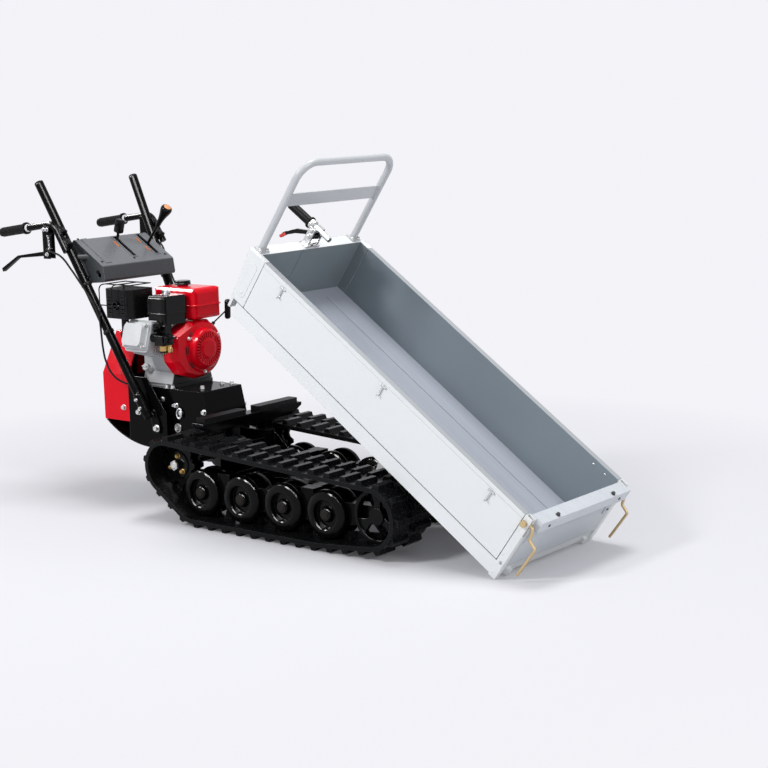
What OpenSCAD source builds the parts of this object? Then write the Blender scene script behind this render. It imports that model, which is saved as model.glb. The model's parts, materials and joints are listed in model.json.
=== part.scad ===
// Tracked power carrier: rubber tracks, small petrol engine, walk-behind handle and a tipping bed.
// Millimetres. +X points to the tipping end, +Y to the left of the driver, +Z up, ground at Z = 0.

/* [Tracks] */
// Middle of the road wheels ahead of the origin
mid_x = 99; // [90:1:110]
// Distance between the centre lines of the two tracks
track_gauge = 448; // [440:1:460]
// Width of each rubber track
track_w = 180; // [170:1:190]
// Thickness of the belt under the lugs
belt_t = 14; // [11:0.5:16]
// Height of the outer lugs
lug_h = 14; // [10:0.5:16]
// Nominal distance between lugs of one column
lug_pitch = 64; // [58:1:72]
// Height of the inner guide lugs
guide_h = 24; // [18:1:26]
// Diameter of the road wheels
wheel_d = 156; // [148:1:160]
// Distance between neighbouring road wheels
wheel_pitch = 180; // [174:1:186]
// Half width of a road wheel over its outer faces
wheel_half_w = 49; // [46:1:52]
// Radius of the belt round the drive sprocket
sprocket_r = 76; // [74:1:80]
// Drive sprocket behind the middle of the road wheels
sprocket_back = 386; // [380:1:394]
// Drive sprocket above the road wheel axles
sprocket_rise = 79; // [74:1:84]
// Radius of the front idler
idler_r = 84; // [80:1:86]
// Idler ahead of the middle of the road wheels
idler_ahead = 478; // [470:1:486]
// Idler above the road wheel axles
idler_rise = 24; // [20:1:28]
// Teeth on each drive sprocket
sprocket_teeth = 9; // [8:1:10]

/* [Frame] */
// Width of one track beam between its roller discs
beam_w = 44; // [38:1:46]
// Radius of the roller, idler and sprocket shafts
axle_r = 12; // [10:0.5:14]
// Height of the two main rails
rail_h = 70; // [64:1:74]
// Width of each main rail
rail_w = 40; // [34:1:44]
// Inner half distance between the main rails
rail_inner = 60; // [58:1:64]
// Half width of the gearbox cover
box_half_w = 95; // [92:1:100]
// Height of the gearbox cover over the rails
box_h = 142; // [136:1:150]
// Half width of the rear housing and belt cover
rear_half_w = 126; // [120:1:132]
// Sheet thickness of covers and housings
sheet_t = 3; // [2:0.5:4]

/* [Engine] */
// Crankshaft above the engine seat
crank_rise = 120; // [116:1:126]
// Engine centre behind the middle of the road wheels
engine_back = 600; // [594:1:606]
// Crankshaft beside the centre line
engine_side = 10; // [0:1:16]
// Radius of the round fan cover
fan_r = 98; // [94:1:104]
// Radius of the starter grille
grille_r = 64; // [58:1:68]
// Tilt of the cylinder above level
cylinder_tilt = 17; // [14:1:20]
// Radius of the pulley on the crankshaft
drive_pulley_r = 28; // [26:1:32]
// Radius of the pulley on the gearbox
driven_pulley_r = 54; // [50:1:58]

/* [Handle] */
// Radius of the long handle tubes
tube_r = 16; // [14:0.5:18]
// Radius of the bent handlebars
bar_r = 12; // [10:0.5:13]
// Radius of the rubber grips
grip_r = 17; // [15:0.5:19]
// Half distance between the handlebars
bar_half_w = 230; // [226:1:236]
// Half width of the console
console_half_w = 168; // [160:1:172]

/* [Bed] */
// Tipping angle of the raised bed
bed_tip = 35; // [30:1:36]
// Tipping pivot ahead of the middle of the road wheels
pivot_ahead = 371; // [366:1:376]
// Tipping pivot above the road wheel axles
pivot_rise = 105; // [100:1:108]
// Radius of the tipping shaft
pivot_r = 14; // [12:0.5:16]
// Bed length behind the pivot
bed_rear = 717; // [710:1:722]
// Bed length ahead of the pivot
bed_front = 553; // [546:1:556]
// Outer half width of the bed
bed_half_w = 262; // [256:1:266]
// Underside of the bed above the pivot when it is down
bed_under = 137; // [134:1:142]
// Outer height of the bed
bed_h = 227; // [220:1:236]
// Thickness of the double-skinned walls
wall_t = 22; // [18:1:24]
// Thickness of the hollow rear wall
head_wall = 40; // [36:1:44]
// Height of the base strips along the sides
strip_h = 48; // [44:1:52]
// Radius of the guard rail tube
guard_r = 12; // [11:0.5:14]
// Height of the guard rail over the rim
guard_h = 341; // [330:1:352]

/* [Hidden] */
$fn = 64;
// Running gap between the belt and the wheels it runs on
run_gap = 0.3;
// Radial play of a shaft in its bore
shaft_play = 0.05;
// Gap between parts that stand beside each other
side_gap = 2;
// Depth that a welded or moulded feature is sunk into its base
weld = 1;
// Overlap where a straight run meets a bend, and the skin that covers it
lap = 1;
lap_skin = 0.2;

// Running gear positions
wheel_r = wheel_d / 2;
wheel_z = lug_h + belt_t + run_gap + wheel_r;
wheel_count = 4;
function wheel_x(i) = mid_x + (i - (wheel_count + 1) / 2) * wheel_pitch;
sprocket_x = mid_x - sprocket_back;
sprocket_z = wheel_z + sprocket_rise;
idler_x = mid_x + idler_ahead;
idler_z = wheel_z + idler_rise;
track_y = track_gauge / 2;

// Frame positions
beam_low = 32;
beam_high = 44;
low_rail_z = wheel_z - 2;
low_rail_h = 46;
cross_w = 36;
cross_h = 26;
cross_x = [mid_x - wheel_pitch, mid_x + wheel_pitch];
cross_z = low_rail_z + low_rail_h;
rail_z = wheel_z + 84;
rail_top = rail_z + rail_h;
rail_outer = rail_inner + rail_w;
rail_wall = 4;
rail_rear_x = mid_x - 630;
pivot_x = mid_x + pivot_ahead;
pivot_z = wheel_z + pivot_rise;
rail_front_x = pivot_x + 34;
pivot_half_w = rail_outer + 18;
bearer_y = pivot_half_w - 11;
bearer_w = 8;
box_front_x = mid_x - 412;
box_top = rail_top + box_h;
rear_x = mid_x - 745;
box_rear_x = rear_x + sheet_t;
rear_low = rail_z + 12;
rear_top = rail_top + 178;
cover_rear_x = mid_x - 871;
cover_low = rail_top + 14;

// Engine positions
engine_x = mid_x - engine_back;
engine_base_t = 12;
crank_z = box_top + engine_base_t + crank_rise;
input_z = rail_top + 92;
belt_x = rear_x - 58;
belt_w = 16;
belt_thick = 9;

// Handle positions
tube_low = [mid_x - 622, rear_half_w + 22, rail_top + 42];
tube_high = [mid_x - 1040, 221, 1106];
bar_foot = [mid_x - 905, 872];
bar_bend = [mid_x - 966, 968];
bar_end = [mid_x - 1247, 930];
lever_pivot = [mid_x - 992, 862];

// Bed positions, measured from the pivot with the bed down: forward, sideways, up
bed_top = bed_under + bed_h;
member_h = 36;
floor_up = bed_under + member_h;
floor_t = 3;
inner_half_w = bed_half_w - wall_t;
strip_top = bed_under + strip_h;
panel_gap = 3;
pillar_l = 76;
post_l = 26;

// Shared shapes

// Rectangle with rounded corners, centred
module round_rect(w, h, r) {
    square([w - 2 * r, h], center = true);
    square([w, h - 2 * r], center = true);
    for (x = [-1, 1], y = [-1, 1])
        translate([x * (w / 2 - r), y * (h / 2 - r)]) circle(r);
}

// Block with rounded upright edges, standing on Z = 0
module round_block(w, d, h, r) {
    linear_extrude(h) round_rect(w, d, r);
}

// Convex outline with its corners rounded, drawn inset by the given distance
function corner_centre(p, i, r) =
    let (n = len(p), a = heading(p[i], p[(i + n - 1) % n]), b = heading(p[i], p[(i + 1) % n]), s = a + b)
        p[i] + s / norm(s) * r / sqrt((1 - a * b) / 2);
module rounded_outline(p, r, inset = 0) {
    hull() for (i = [0 : len(p) - 1]) translate(corner_centre(p, i, r)) circle(r - inset, $fn = 32);
}

// Turns a flat XY drawing into the XZ plane and gives it a width along Y
module upright(width) {
    rotate([90, 0, 0]) linear_extrude(width, center = true) children();
}

// Turns a flat XY drawing into the YZ plane and gives it a length along X
module lengthwise(length) {
    rotate([90, 0, 90]) linear_extrude(length) children();
}

// Round bar between two points in space
module bar(a, b, r) {
    d = b - a;
    translate(a) rotate([0, acos(d[2] / norm(d)), atan2(d[1], d[0])]) cylinder(r = r, h = norm(d));
}

// Cylinder lying along Y, centred
module y_cylinder(r, h) {
    rotate([90, 0, 0]) cylinder(r = r, h = h, center = true);
}

// Cylinder lying along +X from its start
module x_cylinder(r, h) {
    rotate([0, 90, 0]) cylinder(r = r, h = h);
}

// Both sides of the machine
module both_sides() {
    for (side = [-1, 1]) scale([1, side, 1]) children();
}

// Round rod bent in the XY plane through the given points
function heading(p, q) = (q - p) / norm(q - p);
function turn(p, i) = let (a = heading(p[i - 1], p[i]), b = heading(p[i], p[i + 1]))
    atan2(a[0] * b[1] - a[1] * b[0], a * b);
function trim(p, i, bend) = i == 0 || i == len(p) - 1 ? 0 : bend * tan(abs(turn(p, i)) / 2);
module bent_rod(p, r, bend) {
    for (i = [0 : len(p) - 2]) {
        u = heading(p[i], p[i + 1]);
        start = p[i] + u * (trim(p, i, bend) - (i == 0 ? 0 : lap));
        stop = p[i + 1] - u * (trim(p, i + 1, bend) - (i == len(p) - 2 ? 0 : lap));
        translate([start[0], start[1], 0]) rotate([0, 90, atan2(u[1], u[0])])
            cylinder(r = r, h = norm(stop - start));
    }
    for (i = [1 : len(p) - 2]) {
        a = heading(p[i - 1], p[i]);
        b = heading(p[i], p[i + 1]);
        side = sign(turn(p, i));
        centre = p[i] - a * trim(p, i, bend) + side * bend * [-a[1], a[0]];
        from = side > 0 ? atan2(a[1], a[0]) - 90 : atan2(b[1], b[0]) + 90;
        translate([centre[0], centre[1], 0]) rotate([0, 0, from])
            rotate_extrude(angle = abs(turn(p, i))) translate([bend, 0]) circle(r + lap_skin);
    }
}

// Closed belt round a ring of wheels, each [x, z, radius], listed anticlockwise

function tangent(a, b) = let (d = [b[0] - a[0], b[1] - a[1]], u = d / norm(d), c = (a[2] - b[2]) / norm(d))
    u * c + [u[1], -u[0]] * sqrt(1 - c * c);
function next(ring, i) = ring[(i + 1) % len(ring)];
function prev(ring, i) = ring[(i + len(ring) - 1) % len(ring)];
function leave(ring, i) = tangent(ring[i], next(ring, i));
function arrive(ring, i) = tangent(prev(ring, i), ring[i]);
function angle_of(v) = atan2(v[1], v[0]);
function arc_from(ring, i) = angle_of(arrive(ring, i));
function arc_turn(ring, i) = (angle_of(leave(ring, i)) - arc_from(ring, i) + 720) % 360;
function on_wheel(ring, i, n) = [ring[i][0], ring[i][1]] + ring[i][2] * n;
function run_start(ring, i) = on_wheel(ring, i, leave(ring, i));
function run_stop(ring, i) = on_wheel(ring, (i + 1) % len(ring), leave(ring, i));
function run_len(ring, i) = norm(run_stop(ring, i) - run_start(ring, i));

// Outline of the belt at a distance off its inner face, with arcs in short steps
arc_step = 5;
function belt_outline(ring, off) = [for (i = [0 : len(ring) - 1])
    let (steps = ceil(arc_turn(ring, i) / arc_step)) for (k = [0 : steps])
        let (a = arc_from(ring, i) + k * arc_turn(ring, i) / steps)
            [ring[i][0], ring[i][1]] + (ring[i][2] + off) * [cos(a), sin(a)]];
module belt_band(ring, width, thick) {
    upright(width) difference() {
        polygon(belt_outline(ring, thick));
        polygon(belt_outline(ring, 0));
    }
}

// Pieces along a belt: even pieces are arcs, odd pieces are straight runs, measured on the outside
function piece_len(ring, thick, k) = k % 2 == 0
    ? (ring[k / 2][2] + thick) * arc_turn(ring, k / 2) * PI / 180
    : run_len(ring, (k - 1) / 2);
function belt_len(ring, thick, k = 0) = k == 2 * len(ring)
    ? 0 : piece_len(ring, thick, k) + belt_len(ring, thick, k + 1);
// Place on the inner face at distance s along the belt: [x, z, outward angle]
function belt_place(ring, thick, s, k = 0) =
    s > piece_len(ring, thick, k) && k < 2 * len(ring) - 1
    ? belt_place(ring, thick, s - piece_len(ring, thick, k), k + 1)
    : k % 2 == 0
    ? let (i = k / 2, a = arc_from(ring, i) + s / (ring[i][2] + thick) * 180 / PI,
           p = on_wheel(ring, i, [cos(a), sin(a)])) [p[0], p[1], a]
    : let (i = (k - 1) / 2, n = leave(ring, i), p = run_start(ring, i) + s * [-n[1], n[0]])
      [p[0], p[1], angle_of(n)];

// Running gear

track_ring = [
    [wheel_x(1), wheel_z, wheel_r + run_gap],
    [wheel_x(wheel_count), wheel_z, wheel_r + run_gap],
    [idler_x, idler_z, idler_r + run_gap],
    [sprocket_x, sprocket_z, sprocket_r + run_gap]
];
track_len = belt_len(track_ring, belt_t);
lug_count = round(track_len / lug_pitch);
lug_step = track_len / lug_count;
lug_phase = 0.37;
lug_edge = 6;
lug_len = 76;
lug_foot = 30;
lug_tip = 16;
lug_sink = 2;
guide_w = 22;
guide_foot = 30;
guide_tip = 18;

// One bar across the belt, tapered towards its tip, pointing along +X
module belt_bar(foot, tip, low, high, width) {
    upright(width) polygon([[low, -foot / 2], [high, -tip / 2], [high, tip / 2], [low, foot / 2]]);
}

module track(side) {
    color("#262a2b") translate([0, side * track_y, 0]) {
        belt_band(track_ring, track_w, belt_t);
        for (i = [0 : lug_count - 1], column = [-1, 1]) {
            p = belt_place(track_ring, belt_t, (i + lug_phase + column / 4) * lug_step);
            translate([p[0], column * (track_w / 2 - lug_edge - lug_len / 2), p[1]]) rotate([0, -p[2], 0])
                belt_bar(lug_foot, lug_tip, belt_t - lug_sink, belt_t + lug_h, lug_len);
        }
        for (i = [0 : lug_count - 1]) {
            p = belt_place(track_ring, belt_t, (i + lug_phase) * lug_step);
            translate([p[0], 0, p[1]]) rotate([0, -p[2], 0])
                belt_bar(guide_foot, guide_tip, lug_sink, -guide_h, guide_w);
        }
    }
}
module track_l() { track(1); }
module track_r() { track(-1); }

// Dished twin-disc roller turned about Y: a domed ring round a deep recess, hollow behind, on its shaft
rim_back = 14;
hub_cap_r = 22;
lip_r = 48;
module roller(i, side) {
    face = wheel_half_w;
    back = beam_w / 2 + side_gap;
    floor_y = back + 5;
    dome_r = lip_r + 4;
    dome = [for (a = [0 : 15 : 90])
        [dome_r + (wheel_r - dome_r) * sin(a), face - rim_back + rim_back * cos(a)]];
    half = concat(
        [[hub_cap_r - 3, face - 5], [hub_cap_r, face - 8], [hub_cap_r + 4, floor_y], [lip_r - 5, floor_y],
            [lip_r - 3, face - 4], [lip_r, face - 1]],
        dome,
        [[wheel_r, back], [wheel_r - 7, back], [wheel_r - 11, face - rim_back - 1], [wheel_r - 22, face - 9],
            [lip_r + 2, face - 8], [lip_r + 2, back], [axle_r, back]]
    );
    flip = [for (k = [len(half) - 1 : -1 : 0]) [half[k][0], -half[k][1]]];
    color("#1d2021") translate([wheel_x(i), side * track_y, wheel_z]) rotate([90, 0, 0])
        rotate_extrude() polygon(concat([[0, face - 5]], half, flip, [[0, 5 - face]]));
}
module road_wheel_l1() { roller(1, 1); }
module road_wheel_l2() { roller(2, 1); }
module road_wheel_l3() { roller(3, 1); }
module road_wheel_l4() { roller(4, 1); }
module road_wheel_r1() { roller(1, -1); }
module road_wheel_r2() { roller(2, -1); }
module road_wheel_r3() { roller(3, -1); }
module road_wheel_r4() { roller(4, -1); }

// Open front wheel: two rims on three broad spokes each, joined by the shaft
idler_rim = 11;
idler_hub_r = 27;
module idler(side) {
    disc_w = wheel_half_w - beam_w / 2 - side_gap;
    rim_in = idler_r - idler_rim;
    spoke = [[idler_hub_r - 5, -12], [idler_hub_r + 14, -11], [rim_in + 3, -26], [rim_in + 3, 26],
        [idler_hub_r + 14, 11], [idler_hub_r - 5, 12]];
    color("#1d2021") translate([idler_x, side * track_y, idler_z]) {
        y_cylinder(axle_r, 2 * wheel_half_w - 6);
        for (s = [-1, 1]) translate([0, s * (wheel_half_w - disc_w / 2), 0]) {
            rotate([90, 0, 0]) rotate_extrude() translate([rim_in, -disc_w / 2]) square([idler_rim, disc_w]);
            y_cylinder(idler_hub_r, disc_w);
            for (k = [0 : 2]) rotate([0, k * 120 - 90, 0]) upright(disc_w / 2) polygon(spoke);
        }
    }
}
module idler_l() { idler(1); }
module idler_r_node() { idler(-1); }

// Twin toothed discs on the drive shaft that comes out of the gearbox
tooth_tip_gap = 2;
tooth_depth = 13;
disc_t = 9;
disc_in = guide_w / 2 + side_gap;
shaft_in = 18;
module sprocket(side) {
    tip = sprocket_r - tooth_tip_gap;
    root = tip - tooth_depth;
    step = 360 / sprocket_teeth;
    tooth = [[root, -0.34], [tip, -0.12], [tip, 0.12], [root, 0.34]];
    outline = [for (k = [0 : sprocket_teeth - 1], e = tooth)
        e[0] * [cos((k + e[1]) * step), sin((k + e[1]) * step)]];
    inner_end = transaxle_half_w - shaft_in;
    outer_end = track_y + disc_in + disc_t + 22;
    color("#1b1d1e") translate([sprocket_x, 0, sprocket_z]) scale([1, side, 1]) {
        translate([0, (inner_end + outer_end) / 2, 0]) y_cylinder(axle_r, outer_end - inner_end);
        translate([0, track_y, 0]) {
            for (s = [-1, 1]) translate([0, s * (disc_in + disc_t / 2), 0]) upright(disc_t) polygon(outline);
            y_cylinder(30, 2 * disc_in + disc_t);
            translate([0, disc_in + disc_t + 2, 0]) y_cylinder(46, 4 + weld);
            translate([0, disc_in + disc_t + 10, 0]) rotate([90, 0, 0])
                cylinder(r = 16, h = 14, center = true, $fn = 6);
        }
    }
}
module sprocket_l() { sprocket(1); }
module sprocket_r_node() { sprocket(-1); }

// Beam between the roller discs, with the bores of the rollers and the idler
module track_beam(side) {
    z0 = wheel_z - beam_low;
    z1 = wheel_z + beam_high;
    x0 = wheel_x(1) - 34;
    x1 = wheel_x(wheel_count) + 12;
    xi = idler_x + 26;
    color("#17191a") translate([0, side * track_y, 0]) difference() {
        union() {
            upright(beam_w) polygon([[x0, z0], [x1 + 28, z0], [xi, idler_z - 24], [xi, idler_z + 24],
                [x1, z1], [x0, z1]]);
            for (x = cross_x) translate([x - cross_w / 2 - 8, -beam_w / 2, z1 - weld])
                cube([cross_w + 16, beam_w, cross_z + cross_h - z1 + weld]);
        }
        for (i = [1 : wheel_count]) translate([wheel_x(i), 0, wheel_z])
            y_cylinder(axle_r + shaft_play, track_w);
        translate([idler_x, 0, idler_z]) y_cylinder(axle_r + shaft_play, track_w);
    }
}
module track_beam_l() { track_beam(1); }
module track_beam_r() { track_beam(-1); }

// Frame

// Open channel along X with its web on the outside
module rail(length, height) {
    difference() {
        cube([length, rail_w, height]);
        translate([-1, -1, rail_wall])
            cube([length + 2, rail_w - rail_wall + 1, height - 2 * rail_wall]);
    }
}

// High rails under the engine, low rails between the tracks, gussets that join them and pivot blocks
gusset_t = 6;
module chassis_frame() {
    post_w = 36;
    block_l = 68;
    high_end = rest_x + 26;
    low_start = rest_x - 40;
    gusset_end = rest_x + 150;
    color("#17191a") {
        difference() {
            both_sides() {
                translate([rail_rear_x, rail_inner, rail_z]) rail(high_end - rail_rear_x, rail_h);
                translate([low_start, rail_inner, low_rail_z]) rail(rail_front_x - low_start, low_rail_h);
                translate([pivot_x - block_l / 2, rail_inner, low_rail_z])
                    cube([block_l, rail_w, pivot_z + pivot_r + 14 - low_rail_z]);
                translate([0, rail_outer + gusset_t / 2 - weld, 0]) upright(gusset_t)
                    polygon([[low_start, low_rail_z + 6], [gusset_end, low_rail_z + 6],
                        [gusset_end, cross_z - 4], [high_end, rail_top - 12], [low_start, rail_top - 12]]);
            }
            translate([pivot_x, 0, pivot_z]) y_cylinder(pivot_r + shaft_play, 4 * rail_outer);
            translate([sprocket_x, 0, sprocket_z]) y_cylinder(axle_r + 8, 4 * rail_outer);
        }
        for (x = cross_x) difference() {
            translate([x - cross_w / 2, -track_y + beam_w / 2, cross_z])
                cube([cross_w, track_gauge - beam_w, cross_h]);
            translate([x - cross_w / 2 + rail_wall, -track_y, cross_z + rail_wall])
                cube([cross_w - 2 * rail_wall, track_gauge, cross_h - 2 * rail_wall]);
        }
        for (x = [rail_rear_x, rest_x - 20]) translate([x, -rail_inner - weld, rail_z + rail_wall])
            cube([post_w, 2 * rail_inner + 2 * weld, rail_h - 2 * rail_wall - 20]);
        translate([pivot_x - 100, -rail_inner - weld, low_rail_z + rail_wall])
            cube([post_w, 2 * rail_inner + 2 * weld, low_rail_h - 2 * rail_wall]);
        both_sides() translate([rest_x - post_w / 2, rail_inner + 2, rail_top - weld])
            cube([post_w, rail_w - 4, rest_low - rail_top + weld]);
    }
}

module pivot_shaft() {
    color("#8d9296") translate([pivot_x, 0, pivot_z]) y_cylinder(pivot_r, 2 * pivot_half_w);
}

// Cross beam that carries the lowered bed on two pads
pad_t = 17;
rest_h = 36;
rest_w = 50;
rest_x = pivot_x - bed_rear + 54;
rest_top = pivot_z + bed_under - run_gap - pad_t;
rest_low = rest_top - rest_h;
rest_half_w = bed_half_w - 20;
module bed_rest_beam() {
    slant = 52;
    color("#17191a") translate([rest_x - rest_w / 2, 0, 0]) lengthwise(rest_w) difference() {
        polygon([[-rest_half_w, rest_top], [-rest_half_w, rest_top - 10], [slant - rest_half_w, rest_low],
            [rest_half_w - slant, rest_low], [rest_half_w, rest_top - 10], [rest_half_w, rest_top]]);
        polygon([[slant + 12 - rest_half_w, rest_low - 1], [slant + 12 - rest_half_w, rest_low + 5],
            [4 - rail_outer, rest_low + 5], [4 - rail_outer, rest_low - 1]]);
    }
}

module rest_pads() {
    pad_w = rest_w - 8;
    pad_l = rest_half_w - 44;
    color("#2c2f31") both_sides() translate([rest_x, 30 + pad_l / 2, rest_top])
        round_block(pad_w, pad_l, pad_t, 6);
}

// Folded cover over the gearbox, open below
module gearbox_cover() {
    lean = 34;
    low = rail_top;
    k = sheet_t;
    color("#141617") difference() {
        upright(2 * box_half_w) polygon([[box_rear_x, low], [box_front_x + lean, low],
            [box_front_x, box_top], [box_rear_x, box_top]]);
        upright(2 * (box_half_w - k)) polygon([[box_rear_x + k, low - 1], [box_front_x + lean - k, low - 1],
            [box_front_x - k, box_top - k], [box_rear_x + k, box_top - k]]);
        translate([box_rear_x, input_y, input_z]) x_cylinder(axle_r + 10, 2 * k + 2);
    }
}

// Gearbox between the rails: case, input boss to the rear and output bosses to the sprockets
transaxle_half_w = rail_inner;
input_y = engine_side;
input_boss_r = 30;
case_x = sprocket_x - 106;
case_l = 150;
boss_x = case_x - 110;
module transaxle() {
    case_low = rail_z - 36;
    color("#3a3d3f") difference() {
        union() {
            translate([case_x, 0, case_low])
                round_block(case_l, 2 * transaxle_half_w, input_z + 38 - case_low, 18);
            translate([sprocket_x, 0, sprocket_z]) y_cylinder(44, 2 * transaxle_half_w);
            translate([boss_x, input_y, input_z]) x_cylinder(input_boss_r, 60);
        }
        translate([boss_x - 1, input_y, input_z]) x_cylinder(axle_r + shaft_play, 40);
        for (s = [-1, 1]) translate([sprocket_x, s * transaxle_half_w, sprocket_z])
            y_cylinder(axle_r + shaft_play, 2 * shaft_in + 4);
    }
}
// Black rear housing: two side plates, a front bulkhead and the curved skid below
module rear_housing() {
    plate_x = tube_low[0] + 62;
    skid_r = 365;
    skid_x = mid_x - 640;
    skid_z = rear_low + skid_r - 6;
    wall_low = rear_low + 66;
    overcut = 20;
    inner = rear_half_w - sheet_t;
    lower_edge = [for (a = [253 : 4 : 269]) [skid_x, skid_z] + (skid_r + 2) * [cos(a), sin(a)]];
    color("#141617") difference() {
        union() {
            both_sides() translate([0, rear_half_w - sheet_t / 2, 0]) upright(sheet_t)
                polygon(concat(lower_edge, [[plate_x, rear_low + 4], [plate_x, rail_top + 60],
                    [mid_x - 650, rear_top], [rear_x, rear_top]]));
            translate([rear_x, -inner - weld, wall_low])
                cube([sheet_t, 2 * (inner + weld), rear_top - wall_low]);
            translate([skid_x, 0, skid_z]) rotate([90, 0, 0]) rotate([0, 0, 231]) rotate_extrude(angle = 38)
                translate([skid_r, -inner - weld]) square([sheet_t + 1, 2 * (inner + weld)]);
        }
        both_sides() translate([tube_low[0] + 20, rear_half_w, fork_z]) y_cylinder(7, 20);
        translate([rear_x - 1, input_y, input_z]) x_cylinder(input_boss_r + 6, 20);
        translate([cover_rear_x - overcut, -track_y, cover_low - side_gap])
            cube([rear_x - cover_rear_x + overcut, 2 * track_y, rear_top]);
    }
}
fork_z = rail_top + 6;

// Red sheet cover over the belt drive, roofed, open to the front
module belt_cover() {
    roof_half = 52;
    eave = rail_top + 178;
    ridge = crank_z + drive_pulley_r + pulley_flange + side_gap + sheet_t;
    k = sheet_t;
    outer = [[-rear_half_w, cover_low], [rear_half_w, cover_low], [rear_half_w, eave], [roof_half, ridge],
        [-roof_half, ridge], [-rear_half_w, eave]];
    inner = [[k - rear_half_w, cover_low + k], [rear_half_w - k, cover_low + k],
        [rear_half_w - k, eave - k / 2], [roof_half - k / 2, ridge - k], [k / 2 - roof_half, ridge - k],
        [k - rear_half_w, eave - k / 2]];
    color("#c4101c") translate([cover_rear_x, 0, 0]) difference() {
        lengthwise(rear_x - cover_rear_x) polygon(outer);
        translate([k, 0, 0]) lengthwise(rear_x - cover_rear_x) polygon(inner);
    }
}

// Belt drive from the engine to the gearbox

drive_ring = [
    [input_y, input_z, driven_pulley_r + run_gap],
    [engine_side, crank_z, drive_pulley_r + run_gap]
];
module drive_belt() {
    color("#202224") translate([belt_x, 0, 0]) rotate([0, 0, 90]) belt_band(drive_ring, belt_w, belt_thick);
}

// Grooved pulley turned about X, with a stub of its shaft towards +X
pulley_flange = belt_thick + 3;
module pulley(r, stub) {
    groove = belt_w / 2 + 1;
    cheek = belt_w / 2 + 4;
    hub_end = belt_w / 2 + 20;
    flange = r + pulley_flange;
    rotate([0, 90, 0]) rotate_extrude() polygon([
        [0, -cheek], [flange, -cheek], [flange, -groove], [r, -groove], [r, groove], [flange, groove],
        [flange, cheek], [axle_r + 6, cheek], [axle_r + 6, hub_end], [axle_r, hub_end], [axle_r, stub],
        [0, stub]
    ]);
}
module drive_pulley() {
    color("#55595c") translate([belt_x, engine_side, crank_z])
        pulley(drive_pulley_r, engine_x - pto_back + 30 - belt_x);
}
module driven_pulley() {
    color("#55595c") translate([belt_x, input_y, input_z]) pulley(driven_pulley_r, boss_x + 34 - belt_x);
}

// Engine, drawn from the crankshaft centre

pto_back = 128;
case_back = 108;
case_front = 38;
head_far = 200;
head_t = 32;
head_w = 112;
bore_x = -20;
port_t = head_far - head_t / 2;
port_y = -port_t * cos(cylinder_tilt);
port_z = port_t * sin(cylinder_tilt);
module at_engine() { translate([engine_x, engine_side, crank_z]) children(); }
// Cylinder frame: +Z runs along the cylinder towards the head
module at_cylinder() { at_engine() rotate([90 - cylinder_tilt, 0, 0]) children(); }

module engine_block() {
    fins = 8;
    fin_gap = 9.5;
    seat = -crank_rise;
    color("#a9adb0") {
        difference() {
            union() {
                at_engine() translate([-case_back, 0, 0]) lengthwise(case_back + case_front) {
                    translate([2, -20]) round_rect(176, 150, 34);
                    polygon([[-96, seat], [96, seat], [84, seat + 40], [-84, seat + 40]]);
                }
                at_engine() translate([-pto_back, 0, 0]) x_cylinder(46, pto_back - case_back + weld);
                at_cylinder() translate([bore_x, 0, 60]) linear_extrude(head_far - 60) round_rect(84, 84, 20);
                at_cylinder() translate([bore_x, 0, head_far - head_t])
                    linear_extrude(head_t) round_rect(head_w, 110, 14);
                at_engine() for (p = [[-40, 4], [18, 62], [18, -26]]) translate([p[0], p[1], 40])
                    cylinder(r = 9, h = tank_low - 40);
                at_cylinder() for (k = [0 : fins - 1]) translate([bore_x, 0, 92 + k * fin_gap])
                    linear_extrude(4) round_rect(head_w, 116, 14);
            }
            at_engine() translate([-pto_back - 1, 0, 0]) x_cylinder(axle_r + shaft_play, 36);
        }
        at_engine() translate([-case_back + 6, -88, seat - engine_base_t]) cube([150, 176, engine_base_t]);
    }
}

module rocker_cover() {
    color("#c9ccce") at_cylinder() translate([bore_x, 0, head_far]) {
        round_block(104, 92, 8, 12);
        translate([0, 0, 8 - weld]) round_block(88, 76, 24, 16);
        for (x = [-1, 1], y = [-1, 1]) translate([x * 44, y * 38, 8 - weld]) cylinder(r = 6, h = 6);
    }
}

// Red fan cover with the recoil starter in front: a drum beside a shroud that guides air to the cylinder
cover_front = 100;
grille_front = 124;
shroud = [[-30, -104], [30, -100], [60, 40], [52, 96], [-44, 96], [-132, 56], [-132, -34], [-92, -84]];
shroud_chamfer = 12;
module fan_cover() {
    slots = 32;
    back = case_front;
    depth = cover_front - back;
    color("#c4101c") at_engine() difference() {
        union() {
            rotate([0, 90, 0]) rotate_extrude() polygon([[0, back], [fan_r, back], [fan_r, cover_front - 22],
                [fan_r - 3, cover_front - 9], [fan_r - 9, cover_front - 3], [fan_r - 20, cover_front],
                [grille_r + 8, cover_front], [grille_r + 4, grille_front - 8], [grille_r, grille_front - 3],
                [grille_r - 6, grille_front], [grille_r - 28, grille_front],
                [grille_r - 36, grille_front + 2], [0, grille_front + 2]]);
            translate([back, 0, 0]) hull() {
                lengthwise(depth - 22) rounded_outline(shroud, 22);
                lengthwise(depth - 2) rounded_outline(shroud, 22, shroud_chamfer);
            }
        }
        for (k = [0 : slots - 1]) rotate([k * 360 / slots, 0, 0])
            translate([grille_front - 9, -1.9, grille_r - 26]) cube([30, 3.8, 20]);
        for (a = [-50, -90, -130], k = [-1 : 1]) rotate([a, 0, 0])
            translate([cover_front - 8, -15, fan_r - 24 + k * 7]) cube([30, 30, 3]);
    }
}

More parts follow.
